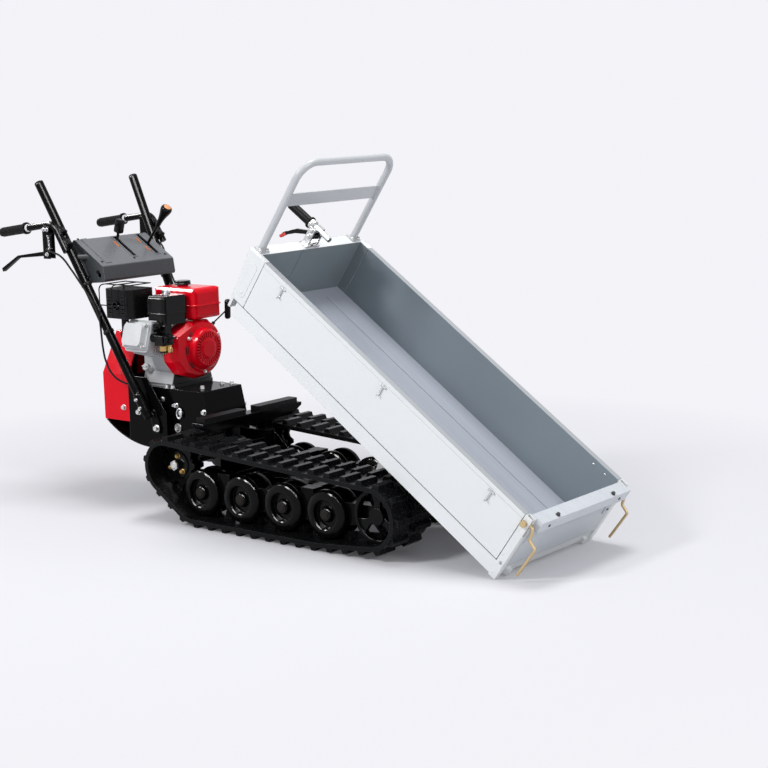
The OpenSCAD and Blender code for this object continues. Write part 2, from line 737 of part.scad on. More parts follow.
// Fuel tank over the crankcase with a pressed seam
tank_low = 100;
tank_high = 208;
tank_x = [-95, 104];
tank_y = [-42, 92];
tank_round = 20;
module soft_box(w, d, h, r) {
    intersection() {
        linear_extrude(h, center = true) round_rect(w, d, r);
        rotate([90, 0, 0]) linear_extrude(d, center = true) round_rect(w, h, r);
        rotate([90, 0, 90]) linear_extrude(w, center = true) round_rect(d, h, r);
    }
}
module fuel_tank() {
    seam = 46;
    seam_out = 4;
    w = tank_x[1] - tank_x[0];
    d = tank_y[1] - tank_y[0];
    color("#c4101c") at_engine() {
        translate([tank_x[0] + w / 2, tank_y[0] + d / 2, 0]) {
            translate([0, 0, (tank_low + tank_high) / 2]) soft_box(w, d, tank_high - tank_low, tank_round);
            translate([0, 0, tank_low + seam])
                round_block(w + 2 * seam_out, d + 2 * seam_out, 4, tank_round + 2);
        }
        translate([cap_x, cap_y, tank_high - 4]) cylinder(r = cap_r - 8, h = 8);
    }
}
cap_x = -14;
cap_y = 24;
cap_r = 27;
module fuel_cap() {
    ribs = 18;
    color("#1b1d1e") at_engine() translate([cap_x, cap_y, tank_high + 4 + run_gap]) {
        cylinder(r = cap_r - 2, h = 14);
        cylinder(r = cap_r + 1, h = 5);
        for (k = [0 : ribs - 1]) rotate([0, 0, k * 360 / ribs]) translate([cap_r - 3, -2, 3])
            cube([3, 4, 10]);
    }
}

// Air cleaner: box over the carburettor with a lid seam, neck and knob, cut away over the cylinder head
module air_cleaner() {
    w = 90;
    d = 114;
    x = 37;
    y = -107;
    base = 94;
    high = 192;
    lid = base + 36;
    color("#1b1d1e") at_engine() {
        difference() {
            translate([x, y, base]) round_block(w - 6, d - 6, 40, 12);
            translate([x - w / 2, y - d / 2, base - 1]) cube([bore_x + head_w / 2 + 5 - x + w / 2, d, 16]);
        }
        translate([x, y, lid]) round_block(w + 4, d + 4, 5, 14);
        translate([x, y, lid + 4]) round_block(w, d, high - lid - 10, 13);
        translate([x, y, high - 7]) round_block(w - 8, d - 8, 7, 10);
        translate([x, y, high - weld]) cylinder(r = 9, h = 9);
        translate([x - 14, y - 3, high + 6]) cube([28, 6, 9]);
        translate([carb_x - 16, y - d / 2 + 3, carb_top]) cube([40, 28, base - carb_top + weld]);
    }
}
muffler_x = [-162, -42];
muffler_y = [-200, -92];
muffler_z = [114, 206];
shield_air = 6;
shield_t = 2.5;
outlet_r = 13;
module muffler() {
    w = muffler_x[1] - muffler_x[0];
    d = muffler_y[1] - muffler_y[0];
    cx = muffler_x[0] + w / 2;
    cy = muffler_y[0] + d / 2;
    cz = (muffler_z[0] + muffler_z[1]) / 2;
    pipe_x = bore_x - head_w / 2 - 21;
    outlet = muffler_y[0] - 16;
    color("#232526") at_engine() {
        difference() {
            union() {
                translate([cx, cy, muffler_z[0]]) round_block(w, d, muffler_z[1] - muffler_z[0], 24);
                translate([cx, outlet + 12, cz]) y_cylinder(outlet_r, 24);
            }
            translate([cx, outlet, cz]) y_cylinder(outlet_r - 2, 32);
        }
        translate([bore_x - head_w / 2 - 34, port_y, port_z]) x_cylinder(13, 34);
        translate([bore_x - head_w / 2 - 5, port_y, port_z]) x_cylinder(15, 5);
        translate([pipe_x, port_y, port_z]) cylinder(r = 13, h = muffler_z[0] + 2 - port_z);
    }
}

// Louvred heat shield over the muffler, with its wire hand guard
module muffler_guard() {
    w = muffler_x[1] - muffler_x[0] + 2 * shield_air;
    d = muffler_y[1] - muffler_y[0] + 2 * shield_air;
    h = muffler_z[1] - muffler_z[0] + shield_air;
    cx = (muffler_x[0] + muffler_x[1]) / 2;
    cy = (muffler_y[0] + muffler_y[1]) / 2;
    cz = (muffler_z[0] + muffler_z[1]) / 2;
    color("#232526") at_engine() {
        difference() {
            translate([cx, cy, muffler_z[0]])
                round_block(w + 2 * shield_t, d + 2 * shield_t, h + shield_t, 30);
            translate([cx, cy, muffler_z[0] - 1]) round_block(w, d, h + 1, 28);
            translate([cx - w, cy + d / 2 - 14, muffler_z[0] - 1]) cube([2 * w, 60, h + 20]);
            translate([cx, cy - d / 2, cz]) y_cylinder(outlet_r + 4, 60);
            for (k = [-2 : 2], side = [-1, 1]) translate([cx + side * 34 - 12, cy - d, cz + k * 13 - 2])
                cube([24, d, 5]);
            for (k = [-2 : 2]) translate([cx - w, cy - 20, cz + k * 13 - 2]) cube([w, 40, 5]);
            for (k = [-3 : 3]) translate([cx + k * 14 - 2.5, cy - 40, muffler_z[1]]) cube([5, 30, 30]);
        }
        for (x = [cx - 30, cx + 30]) translate([x, cy + 16, muffler_z[1]])
            cylinder(r = 5, h = shield_air + weld);
        guard_wires(cy, cz, d / 2 + 18, h / 2 + 20, muffler_x[0] - 6, muffler_x[1] - 4);
    }
}
// Wire cage: hoops over the heat shield, tied by long wires and held off it by two studs
module guard_wires(cy, cz, half_w, half_h, x0, x1) {
    r = 2;
    stud_r = 3.5;
    stud_l = 18;
    mid = (x0 + x1) / 2;
    hoop = [[-half_w, 30 - half_h], [-half_w, half_h], [half_w - 30, half_h]];
    for (x = [x0, mid, x1]) translate([x, cy, cz]) rotate([90, 0, 90]) bent_rod(hoop, r, 18);
    for (p = [[-half_w, 0], [30 - half_w, half_h], [half_w - 34, half_h]])
        translate([x0, cy + p[0], cz + p[1]]) x_cylinder(r, x1 - x0);
    translate([mid, cy - 20, cz + half_h - stud_l]) cylinder(r = stud_r, h = stud_l);
    translate([mid + 30, cy - half_w, cz]) rotate([-90, 0, 0]) cylinder(r = stud_r, h = stud_l);
}
carb_x = 58;
carb_y = -164;
carb_top = 64;
module carburettor() {
    flange = bore_x + head_w / 2;
    color("#b9b3a2") at_engine() {
        translate([carb_x, carb_y - 26, carb_top - 34]) cube([38, 52, 34]);
        translate([carb_x + 19, carb_y, 6]) cylinder(r = 18, h = 26);
        translate([carb_x + 19, carb_y, -2]) cylinder(r = 7, h = 10);
        translate([flange, port_y, port_z]) x_cylinder(15, carb_x - flange + weld);
        translate([carb_x + 37, carb_y - 14, carb_top - 26]) cube([9, 28, 18]);
    }
}

// Pull grip of the starter on its rope guide beside the fan cover
module starter_grip() {
    lead = 41;
    guide_x = 66;
    guide_far = fan_r + 18;
    guide_end = [guide_x, guide_far * cos(lead), guide_far * sin(lead)];
    grip_at = [116, 108, 124];
    color("#1b1d1e") at_engine() {
        translate([guide_x, 0, 0]) rotate([lead - 90, 0, 0]) translate([0, 0, fan_r + 0.2])
            cylinder(r = 6, h = 18);
        bar(guide_end, grip_at, 2.5);
        translate(grip_at) rotate([8, 10, 0]) {
            translate([0, 0, -30]) round_block(18, 20, 60, 7);
            translate([0, 0, -34]) round_block(14, 16, 68, 6);
        }
    }
}

// Handle

module handle_tubes() {
    flat = 7;
    u = tube_high - tube_low;
    fork_x = tube_low[0];
    fork_top = tube_low[2] + 26;
    color("#101213") both_sides() {
        difference() {
            bar(tube_low, tube_high, tube_r);
            bar(tube_low + 0.04 * u, tube_high + u, tube_r - 3);
        }
        bar(tube_low + 0.02 * u, tube_low + 0.1 * u, tube_r + 3);
        translate([0, rear_half_w + flat / 2, 0]) difference() {
            upright(flat) polygon([[fork_x - 18, fork_top], [fork_x + 4, fork_z - 18],
                [fork_x + 34, fork_z - 18], [fork_x + 34, fork_z + 12], [fork_x + 12, fork_top]]);
            translate([fork_x + 20, 0, fork_z]) y_cylinder(7, 20);
        }
    }
}
module handlebar(side) {
    tip = bar_end + 9 * heading(bar_end, bar_bend);
    color("#101213") scale([1, side, 1]) {
        difference() {
            union() {
                translate([0, bar_half_w, 0]) rotate([90, 0, 0])
                    bent_rod([bar_foot, bar_bend, tip], bar_r, 42);
                for (t = [0.28, 0.72]) {
                    p = bar_foot + t * (bar_bend - bar_foot);
                    translate([p[0] + 4, bar_half_w - 12, p[1] + 2]) rotate([0, 30, 0])
                        cube([42, 22, 24], center = true);
                }
            }
            bar(tube_low, tube_high, tube_r);
        }
        translate([lever_pivot[0] - 4, bar_half_w, lever_pivot[1]]) {
            for (s = [-1, 1]) translate([0, s * 11, 36]) cube([34, 4, 104], center = true);
            translate([0, 0, 85]) cube([34, 26, 26], center = true);
            translate([4, 0, 0]) y_cylinder(5, 26);
        }
    }
}
module handlebar_l() { handlebar(1); }
module handlebar_r() { handlebar(-1); }

// Ribbed rubber grips pushed onto the bar ends
module hand_grips() {
    ribs = 11;
    grip_l = 140;
    u = heading(bar_bend, bar_end);
    start = bar_end - grip_l * u;
    color("#1c1e1f") both_sides() translate([start[0], bar_half_w, start[1]])
        rotate([0, 90 - angle_of(u), 0]) difference() {
            union() {
                cylinder(r = grip_r - 2, h = grip_l);
                cylinder(r = grip_r + 4, h = 8);
                for (k = [0 : ribs - 1]) translate([0, 0, 14 + k * 11]) cylinder(r = grip_r, h = 7);
            }
            translate([0, 0, -1]) cylinder(r = bar_r + shaft_play, h = grip_l - 6);
        }
}

// Flat hand lever below each grip with its bent finger end
lever_w = 15;
lever_reach = 168;
module hand_lever(side) {
    outline = [[10, -11], [10, 11], [-20, 9], [-lever_reach, -11], [-lever_reach - 92, -60],
        [-lever_reach - 88, -72], [-lever_reach, -20], [-20, -7]];
    color("#202325") scale([1, side, 1]) translate([lever_pivot[0], bar_half_w, lever_pivot[1]])
        difference() {
            upright(lever_w) polygon(outline);
            y_cylinder(5 + shaft_play, 40);
        }
}
module hand_lever_l() { hand_lever(1); }
module hand_lever_r() { hand_lever(-1); }

// Console between the handle tubes: a shell with a sloped deck and two lever gates
console_side = [[mid_x - 945, 915], [mid_x - 945, 878], [mid_x - 862, 760], [mid_x - 785, 766],
    [mid_x - 794, 821]];
console_t = 4;
console_round = 10;
deck_back = console_side[0];
deck_front = console_side[4];
deck_tilt = atan2(deck_back[1] - deck_front[1], deck_front[0] - deck_back[0]);
speed_y = 122;
throttle_y = 12;
gate_w = 16;
gate_l = 120;
gate_in = 22;
lever_axis = [mid_x - 889, 838];
lever_pin_r = 6;
// Deck frame: X runs down the slope from the back edge, Z stands off the deck
module at_deck() { translate([deck_back[0], 0, deck_back[1]]) rotate([0, deck_tilt, 0]) children(); }
module console_shell() {
    hang = 850;
    u = tube_high - tube_low;
    hang_at = tube_low + (hang - tube_low[2]) / u[2] * u;
    rim = 5;
    color("#55585b") {
        difference() {
            union() {
                upright(2 * console_half_w) rounded_outline(console_side, console_round);
                at_deck() translate([14, -140, -weld]) cube([148, 26, weld + 2]);
                at_deck() for (y = [speed_y, throttle_y])
                    translate([gate_in - rim, y - gate_w / 2 - rim, -weld])
                        cube([gate_l + 2 * rim, gate_w + 2 * rim, weld + 1.5]);
            }
            upright(2 * (console_half_w - console_t)) rounded_outline(console_side, console_round, console_t);
            at_deck() for (y = [speed_y, throttle_y]) translate([gate_in, y - gate_w / 2, -20])
                cube([gate_l, gate_w, 60]);
            both_sides() translate([mid_x - 813, console_half_w, 789]) y_cylinder(9, 30);
        }
        both_sides() difference() {
            bar([mid_x - 872, console_half_w - 6, hang], hang_at, 9);
            bar(tube_low, tube_high, tube_r);
        }
        for (y = [speed_y, throttle_y]) translate([lever_axis[0], y, lever_axis[1]]) {
            y_cylinder(lever_pin_r, 44);
            for (s = [-1, 1]) translate([0, s * 18, -12]) cube([18, 6, 46], center = true);
        }
    }
}
// Bent lever hung on a pin inside the console, with a bulb knob along its last leg
module console_lever(y, path, knob_r, knob_h) {
    n = len(path);
    tip = path[n - 1];
    last = heading(path[n - 2], tip);
    knob = [[0, 0], [7, 0], [8, knob_h * 0.25], [knob_r - 1, knob_h * 0.62], [knob_r, knob_h * 0.78],
        [knob_r - 2, knob_h * 0.93], [knob_r - 6, knob_h], [0, knob_h]];
    color("#1b1d1e") translate([lever_axis[0], y, lever_axis[1]]) {
        difference() {
            union() {
                y_cylinder(11, 24);
                rotate([90, 0, 0]) bent_rod(path, 5, 14);
            }
            y_cylinder(lever_pin_r + shaft_play, 40);
        }
        translate([tip[0], 0, tip[1]]) rotate([0, 90 - angle_of(last), 0]) translate([0, 0, -weld])
            rotate_extrude() polygon(knob);
    }
}
module speed_lever() { console_lever(speed_y, [[0, 0], [17, 36], [77, 108]], 17, 75); }
module throttle_lever() { console_lever(throttle_y, [[0, 0], [-24, 55], [-15, 85]], 12, 42); }

// Control cables from the hand levers, along the handle tubes and down into the rear housing
cable_r = 3.5;
cable_end = rear_half_w + 0.1;
cable_route = [[mid_x - 992, 246.8, 880], [mid_x - 980, 247, 876], [mid_x - 963, 246, 871],
    [mid_x - 926, 240, 857], [mid_x - 890, 226, 810], [mid_x - 866, 217, 773], [mid_x - 840, 209, 735],
    [mid_x - 806, 204, 688], [mid_x - 790, 201, 650], [mid_x - 789, 198, 618], [mid_x - 791, 194, 585],
    [mid_x - 792, 189, 538], [mid_x - 787, 184, 494], [mid_x - 769, 168, 441], [mid_x - 745, 154, 420],
    [mid_x - 724, 141, 412], [mid_x - 716, 132, 411], [mid_x - 716, cable_end, 411]];

// Round tube through the given points, closed at both ends
module tube_along(p, r, sides) {
    n = len(p);
    tang = [for (i = [0 : n - 1]) heading(p[max(i - 1, 0)], p[min(i + 1, n - 1)])];
    ring = [for (i = [0 : n - 1])
        let (a = cross(tang[i], [0.3, 1, 0.1]), u = a / norm(a), v = cross(tang[i], u))
            for (k = [0 : sides - 1]) p[i] + r * (cos(k * 360 / sides) * u + sin(k * 360 / sides) * v)];
    skin = [for (i = [0 : n - 2], k = [0 : sides - 1])
        let (a = i * sides + k, b = i * sides + (k + 1) % sides)
            each [[a, b, b + sides], [a, b + sides, a + sides]]];
    far = (n - 1) * sides;
    ends = [for (k = [1 : sides - 2]) each [[0, k + 1, k], [far, far + k, far + k + 1]]];
    polyhedron(ring, concat(skin, ends));
}
module control_cables() {
    color("#141617") both_sides() tube_along(cable_route, cable_r, 8);
}
// Bed, drawn lowered with its pivot at the origin and then tipped

module at_bed() { translate([pivot_x, 0, pivot_z]) rotate([0, bed_tip, 0]) children(); }
// White base: side strips, cross members, end posts and the plates that hang on the tipping shaft
strip_in = 48;
member_t = 10;
post_drop = 5;
module bed_base() {
    rear = 4 - bed_rear;
    front = bed_front - post_l;
    strip_rear = strip_in - bed_rear;
    ear = pivot_r + 8;
    member_x = [rear, -640, -360, -60, 240, front - member_t];
    color("#e9ecec") at_bed() difference() {
        union() {
            for (x = member_x) translate([x, -inner_half_w, bed_under])
                cube([member_t, 2 * inner_half_w, member_h]);
            translate([front, -inner_half_w - weld, bed_under])
                cube([post_l - 6, 2 * (inner_half_w + weld), member_h]);
            both_sides() {
                translate([strip_rear, bed_half_w - sheet_t, bed_under])
                    cube([front - strip_rear, sheet_t, strip_h]);
                translate([strip_rear, inner_half_w - sheet_t, bed_under])
                    cube([front - strip_rear, wall_t, sheet_t]);
                translate([rear, bearer_y - bearer_w / 2, bed_under])
                    cube([front - rear, bearer_w, member_h]);
                translate([0, bearer_y, 0]) upright(bearer_w)
                    polygon([[-62, floor_up], [62, floor_up], [ear, -ear], [-ear, -ear]]);
                translate([front, inner_half_w, bed_under - post_drop])
                    cube([post_l, wall_t, bed_h + post_drop]);
                translate([bed_front - 10, inner_half_w - 46, bed_under + 2]) cube([16, 22, 18]);
            }
        }
        y_cylinder(pivot_r + shaft_play, 4 * rail_outer);
        both_sides() {
            translate([latch_x, bed_half_w, latch_up]) y_cylinder(latch_r + shaft_play, 4 * wall_t);
            translate([gate_x, inner_half_w + wall_t / 2, gate_up])
                y_cylinder(gate_pin_r + shaft_play, 2 * wall_t);
            translate([latch_x - 9, latch_y - latch_slot_w / 2, latch_up - 42])
                cube([post_l, latch_slot_w, bed_top - latch_up + 43]);
        }
    }
}

module bed_floor() {
    start = head_wall - bed_rear;
    length = bed_front - post_l - start;
    color("#a9b0b8") at_bed() {
        translate([start, -inner_half_w, floor_up]) cube([length, 2 * inner_half_w, floor_t]);
        for (y = [-150, -50, 50, 150]) translate([start + 40, y - 9, floor_up + floor_t - weld])
            cube([length - 80, 18, weld + 2]);
    }
}

// Double-skinned side wall with a turned rim and a seam below it, open below
rim_h = 16;
seam_w = 1.6;
module side_panel(side) {
    skin = 2;
    start = pillar_l + panel_gap - bed_rear;
    length = bed_front - post_l - panel_gap - start;
    low = strip_top + panel_gap;
    color("#e9ecec") at_bed() scale([1, side, 1]) translate([start, 0, 0]) {
        difference() {
            translate([0, inner_half_w, bed_under + sheet_t]) cube([length, wall_t, bed_h - sheet_t]);
            translate([skin, inner_half_w + skin, bed_under])
                cube([length - 2 * skin, wall_t - 2 * skin, bed_h - skin]);
            translate([-1, inner_half_w + skin, bed_under]) cube([length + 2, wall_t, low - bed_under]);
            translate([-1, bed_half_w - skin / 2, bed_top - rim_h]) cube([length + 2, skin, seam_w]);
        }
        translate([20, inner_half_w + skin - 0.5, low + 30]) cube([length - 40, wall_t - 2 * skin + 1, 3]);
    }
}
module side_panel_l() { side_panel(1); }
module side_panel_r() { side_panel(-1); }

// Hollow rear wall with a seam inside, and corner pillars with a pressed oval
pillar_lean = 16;
pillar_round = 28;
oval_r = 15;
module headboard() {
    skin = 2;
    low = strip_top + panel_gap;
    bend = [pillar_lean + pillar_round, low + pillar_round];
    pillar = concat([[pillar_l, low], [pillar_l, bed_top], [0, bed_top]],
        [for (a = [180 : 15 : 270]) bend + pillar_round * [cos(a), sin(a)]]);
    oval_low = low + 34;
    oval_high = bed_top - 44;
    color("#dfe3e4") at_bed() translate([-bed_rear, 0, 0]) {
        difference() {
            translate([0, -inner_half_w - weld, floor_up])
                cube([head_wall, 2 * (inner_half_w + weld), bed_top - floor_up]);
            translate([skin, -inner_half_w, floor_up - 1])
                cube([head_wall - 2 * skin, 2 * inner_half_w, bed_top - floor_up - skin + 1]);
            translate([head_wall - skin / 2, -48, floor_up - 1]) cube([skin, seam_w, bed_h]);
        }
        for (y = [-120, 120]) translate([1, y - 2, floor_up + 40])
            cube([head_wall - 2, 4, bed_top - floor_up - 70]);
        both_sides() translate([0, bed_half_w - wall_t / 2, 0]) {
            difference() {
                upright(wall_t) polygon(pillar);
                upright(wall_t - 2 * skin) translate([bend[0], bend[1]])
                    square([pillar_l - bend[0] - skin, bed_top - bend[1] - 30]);
            }
            translate([0, wall_t / 2, 0]) upright(skin) {
                for (z = [oval_low, oval_high]) translate([46, z]) circle(oval_r);
                translate([46 - oval_r, oval_low]) square([2 * oval_r, oval_high - oval_low]);
            }
        }
    }
}

// Guard rail: bent tube on two foot plates, with a flat cross plate
guard_in = 16;
guard_y = bed_half_w - 39;
guard_foot_t = 5;
module guard_rail() {
    top = bed_top + guard_h - guard_r;
    foot = bed_top + guard_foot_t - weld;
    plate_up = bed_top + 166;
    plate_h = 48;
    color("#aeb3b6") at_bed() translate([guard_in - bed_rear, 0, 0]) {
        rotate([90, 0, 90])
            bent_rod([[-guard_y, foot], [-guard_y, top], [guard_y, top], [guard_y, foot]], guard_r, 62);
        both_sides() translate([-14, guard_y - 21, bed_top]) cube([32, 42, guard_foot_t]);
        translate([-2, -guard_y, plate_up]) cube([4, 2 * guard_y, plate_h]);
    }
}
// Small T hooks riveted along both sides
hook_x = [-536, -66, 403];
module rope_hooks() {
    color("#9aa0a4") at_bed() both_sides() for (x = hook_x) translate([x, bed_half_w, bed_top - 38]) {
        translate([-2.5, 0, -18]) cube([5, 5, 38]);
        translate([-12, 0, 14]) cube([24, 5, 5]);
        translate([-2.5, 0, -18]) cube([5, 13, 5]);
    }
}

// Bracket over the headboard with the grab bar of the bed and the pin of the release lever
release_x = 20 - bed_rear;
release_up = bed_top + 34;
release_pin_r = 5;
grab_up = bed_top + 63;
grab_r = 9;
grab_back = 127;
grab_ahead = 62;
module release_bracket() {
    plate = 5;
    color("#8d9296") at_bed() translate([release_x, 0, 0]) {
        translate([-16, -34, bed_top]) cube([32, 68, plate]);
        for (s = [-1, 1]) translate([-13, s * 22 - 3, bed_top + plate - weld])
            cube([26, 6, grab_up - bed_top]);
        translate([-13, -25, grab_up - 4]) cube([26, 50, 8]);
        translate([0, 0, release_up]) y_cylinder(release_pin_r, 50);
        translate([-grab_back, 0, grab_up]) x_cylinder(grab_r, grab_back + grab_ahead);
    }
}

// Rubber grip on the grab bar, with a flange at its foot
module release_grip() {
    grip_l = 100;
    cap = 3;
    color("#1c1e1f") at_bed() translate([release_x - grab_back - cap, 0, grab_up]) difference() {
        union() {
            x_cylinder(grab_r + 6, grip_l);
            translate([grip_l - 6, 0, 0]) x_cylinder(grab_r + 11, 6);
        }
        translate([cap, 0, 0]) x_cylinder(grab_r + shaft_play, grip_l);
    }
}

// Curved finger lever that frees the tipping lock
module release_lever() {
    outline = [[-4, -9], [4, 9], [-30, 1], [-70, -22], [-108, -62], [-116, -84], [-107, -84], [-96, -66],
        [-64, -36], [-30, -14]];
    color("#2a2c2e") at_bed() translate([release_x, 0, release_up]) difference() {
        union() {
            y_cylinder(10, 34);
            upright(10) polygon(outline);
        }
        y_cylinder(release_pin_r + shaft_play, 60);
    }
}
// Tailgate between the end posts, hinged along its lower edge, with a folded lip along its top
gate_pin_r = 6;
gate_barrel_r = 10;
gate_x = bed_front - gate_barrel_r;
gate_up = floor_up + floor_t + 12;
gate_gap = 1.5;
gate_lip = 24;
gate_lip_h = 38;
module tailgate() {
    skin = 2;
    half = inner_half_w - gate_gap;
    low = floor_up + floor_t + gate_gap;
    t = 2 * gate_barrel_r;
    lip_low = bed_top + 4 - gate_lip_h;
    color("#b4bac0") at_bed() {
        difference() {
            union() {
                translate([bed_front - t, -half, low]) cube([t, 2 * half, bed_top - low]);
                translate([bed_front - weld, -half, lip_low]) cube([gate_lip + weld, 2 * half, gate_lip_h]);
                translate([gate_x, 0, gate_up]) y_cylinder(gate_barrel_r, 2 * half);
            }
            translate([bed_front - t - 1, 40 - half, low + 34])
                cube([t - skin + 1, 2 * half - 80, bed_top - low - 90]);
            translate([bed_front, skin - half, lip_low - 1])
                cube([gate_lip - skin, 2 * (half - skin), gate_lip_h - skin + 1]);
        }
        both_sides() translate([gate_x, inner_half_w + wall_t / 2 - 4, gate_up])
            y_cylinder(gate_pin_r, wall_t - 2);
    }
}

// Crank latches at the upper corners: a spindle through the post and a bent handle
latch_r = 7;
latch_rod_r = 4.5;
latch_x = bed_front - 15;
latch_up = bed_top - 24;
latch_y = bed_half_w - wall_t / 2;
latch_slot_w = 13;
module latch(side) {
    path = [[0, 0], [27, 0], [37, -36], [66, -45], [62, -150]];
    spindle = [inner_half_w + 0.5, bed_half_w + 10];
    color("#cda85f") at_bed() scale([1, side, 1]) translate([latch_x, 0, latch_up]) {
        translate([0, (spindle[0] + spindle[1]) / 2, 0]) y_cylinder(latch_r, spindle[1] - spindle[0]);
        translate([0, bed_half_w + 6, 0]) rotate([90, 0, 0]) cylinder(r = 11, h = 8, center = true, $fn = 6);
        translate([0, latch_y, 0]) rotate([90, 0, 0]) bent_rod(path, latch_rod_r, 8);
    }
}
module latch_l() { latch(1); }
module latch_r_node() { latch(-1); }

chassis_frame();
pivot_shaft();
gearbox_cover();
transaxle();
rear_housing();
belt_cover();
drive_belt();
bed_rest_beam();
rest_pads();
track_beam_l();
track_beam_r();
track_l();
track_r();
sprocket_l();
sprocket_r_node();  // sprocket_r
road_wheel_l1();
road_wheel_l2();
road_wheel_l3();
road_wheel_l4();
road_wheel_r1();
road_wheel_r2();
road_wheel_r3();
road_wheel_r4();
idler_l();
idler_r_node();  // idler_r
engine_block();
rocker_cover();
fan_cover();
fuel_tank();
fuel_cap();
air_cleaner();
muffler();
muffler_guard();
carburettor();
starter_grip();
drive_pulley();
driven_pulley();
handle_tubes();
handlebar_l();
handlebar_r();
hand_grips();
hand_lever_l();
hand_lever_r();
console_shell();
speed_lever();
throttle_lever();
control_cables();
bed_base();
bed_floor();
side_panel_l();
side_panel_r();
headboard();
guard_rail();
rope_hooks();
release_bracket();
release_grip();
release_lever();
tailgate();
latch_l();
latch_r_node();  // latch_r
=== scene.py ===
"""Looks of a tracked power carrier with a tipping bed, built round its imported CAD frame."""

import json
import math

import bmesh
import bpy
from mathutils import Matrix, Vector
from mathutils.geometry import interpolate_bezier


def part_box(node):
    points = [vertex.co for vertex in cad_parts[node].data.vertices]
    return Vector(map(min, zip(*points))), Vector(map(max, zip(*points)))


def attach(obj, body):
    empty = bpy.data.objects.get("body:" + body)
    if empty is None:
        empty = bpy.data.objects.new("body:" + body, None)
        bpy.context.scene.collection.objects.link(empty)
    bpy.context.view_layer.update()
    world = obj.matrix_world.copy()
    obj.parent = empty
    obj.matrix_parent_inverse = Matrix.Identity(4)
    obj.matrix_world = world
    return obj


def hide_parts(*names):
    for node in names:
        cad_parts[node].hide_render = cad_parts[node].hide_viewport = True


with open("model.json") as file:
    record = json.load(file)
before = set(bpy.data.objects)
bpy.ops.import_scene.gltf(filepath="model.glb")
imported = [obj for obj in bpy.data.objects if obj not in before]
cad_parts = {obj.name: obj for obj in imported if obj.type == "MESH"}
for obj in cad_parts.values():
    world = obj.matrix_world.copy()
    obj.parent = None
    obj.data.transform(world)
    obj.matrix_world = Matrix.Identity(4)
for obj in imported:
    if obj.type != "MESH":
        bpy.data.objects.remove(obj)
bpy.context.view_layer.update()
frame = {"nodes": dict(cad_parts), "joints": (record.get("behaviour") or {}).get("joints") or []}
nodes = frame["nodes"]

MM = 0.001
FULL_TURN = 2 * math.pi
UP = Vector((0, 0, 1))
FORWARD = Vector((1, 0, 0))
SIDEWAYS = Vector((0, 1, 0))
CARRIER = "carrier"
BED = "bed"
SIDES = {"left": 1, "right": -1}

# Joints of the frame, and the pin of each in millimetres
JOINTS = {joint["name"]: joint for joint in frame["joints"]}
PINS = {name: Vector(joint["pos_m"]) / MM for name, joint in JOINTS.items()}


def far_corner(node):
    """The corner of a CAD node's box farthest forward, left and up, in millimetres."""
    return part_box(node)[1] / MM


# Camera, recovered from the photograph: angles in degrees, place in metres
PHOTO_SIZE = 768
CAMERA_FOCAL_PX = 1685
CAMERA_AZIMUTH = 39.02
CAMERA_ELEVATION = 9.74
CAMERA_ROLL = -1.59
CAMERA_PLACE = Vector((3.6978, -4.0680, 1.3775))
CAMERA_REACH = 100
SENSOR_WIDTH = 36

# Studio, in linear colours and metres. The floor shows a small share of the backdrop near the machine, more
# from the start of the fade, and nothing else from its end on. Radiance is in watts per square metre
# and steradian.
BACKDROP = (0.896, 0.896, 0.939)
FLOOR_COLOUR = (0.70, 0.70, 0.73)
FLOOR_HALF = 40
FADE_START = 0.9
FADE_END = 2.4
FADE_NEAR = 0.05
DAYLIGHT = (0.95, 0.97, 1)
WORLD_STRENGTH = 0.5
STRIP_RADIANCE = 80

# Bed, at rest tipped by the whole range of its joint: pivot in metres, directions, sizes in millimetres
BED_TIP = math.radians(-JOINTS["bed_tip"]["range_deg"][0])
BED_PIVOT = Vector(JOINTS["bed_tip"]["pos_m"])
BED_ALONG = Vector((math.cos(BED_TIP), 0, -math.sin(BED_TIP)))
BED_UPWARD = Vector((math.sin(BED_TIP), 0, math.cos(BED_TIP)))
BED_TURN = Matrix((BED_ALONG, SIDEWAYS, BED_UPWARD)).transposed()
BED_HALF_W = far_corner("bed_base").y
BED_INNER = far_corner("bed_floor").y
BED_TOP = 364
HEADBOARD_FACE = -677
HOOK_PLACES = (-536, -66, 403)
GATE_STRAP_Y = 212

# Frame and covers, in millimetres
COVER_HALF_W = far_corner("gearbox_cover").y
COVER_TOP = far_corner("gearbox_cover").z
HOUSING_HALF_W = far_corner("rear_housing").y

# Running gear, in millimetres: the faces that carry nuts, outwards from the middle of the machine
WHEELS_A_SIDE = 4
HUB_INSET = 5
HUB_FACE = far_corner("road_wheel_l1").y - HUB_INSET
SPROCKET_FACE = 250.4
SHAFT_FACE = 256

# Engine, in millimetres: crankshaft centre, the cylinder's tilt, directions and place along the crankshaft,
# and how far the fan cover's front and the case's back lie from the centre
ENGINE_X = -501
CRANK = Vector((ENGINE_X, PINS["crank_spin"].y, PINS["crank_spin"].z))
CYLINDER_TILT = math.radians(17)
CYLINDER_AXIS = Vector((0, -math.cos(CYLINDER_TILT), math.sin(CYLINDER_TILT)))
CYLINDER_UP = Vector((0, math.sin(CYLINDER_TILT), math.cos(CYLINDER_TILT)))
CYLINDER_OFFSET = -20
FAN_FRONT = 100
CASE_BACK = 108

# Handle, left side, in millimetres: the tube from its fork to its top, the bar's top run and its grip
TUBE_LOW = Vector((-523, 148, 302.3))
TUBE_HIGH = Vector((-941, 221, 1106))
TUBE_AXIS = (TUBE_HIGH - TUBE_LOW).normalized()
BAR_BEND = Vector((-867, 230, 968))
BAR_END = Vector((-1148, 230, 930))
GRIP_LENGTH = 140
BRACKET_FACE = far_corner("handlebar_l").y

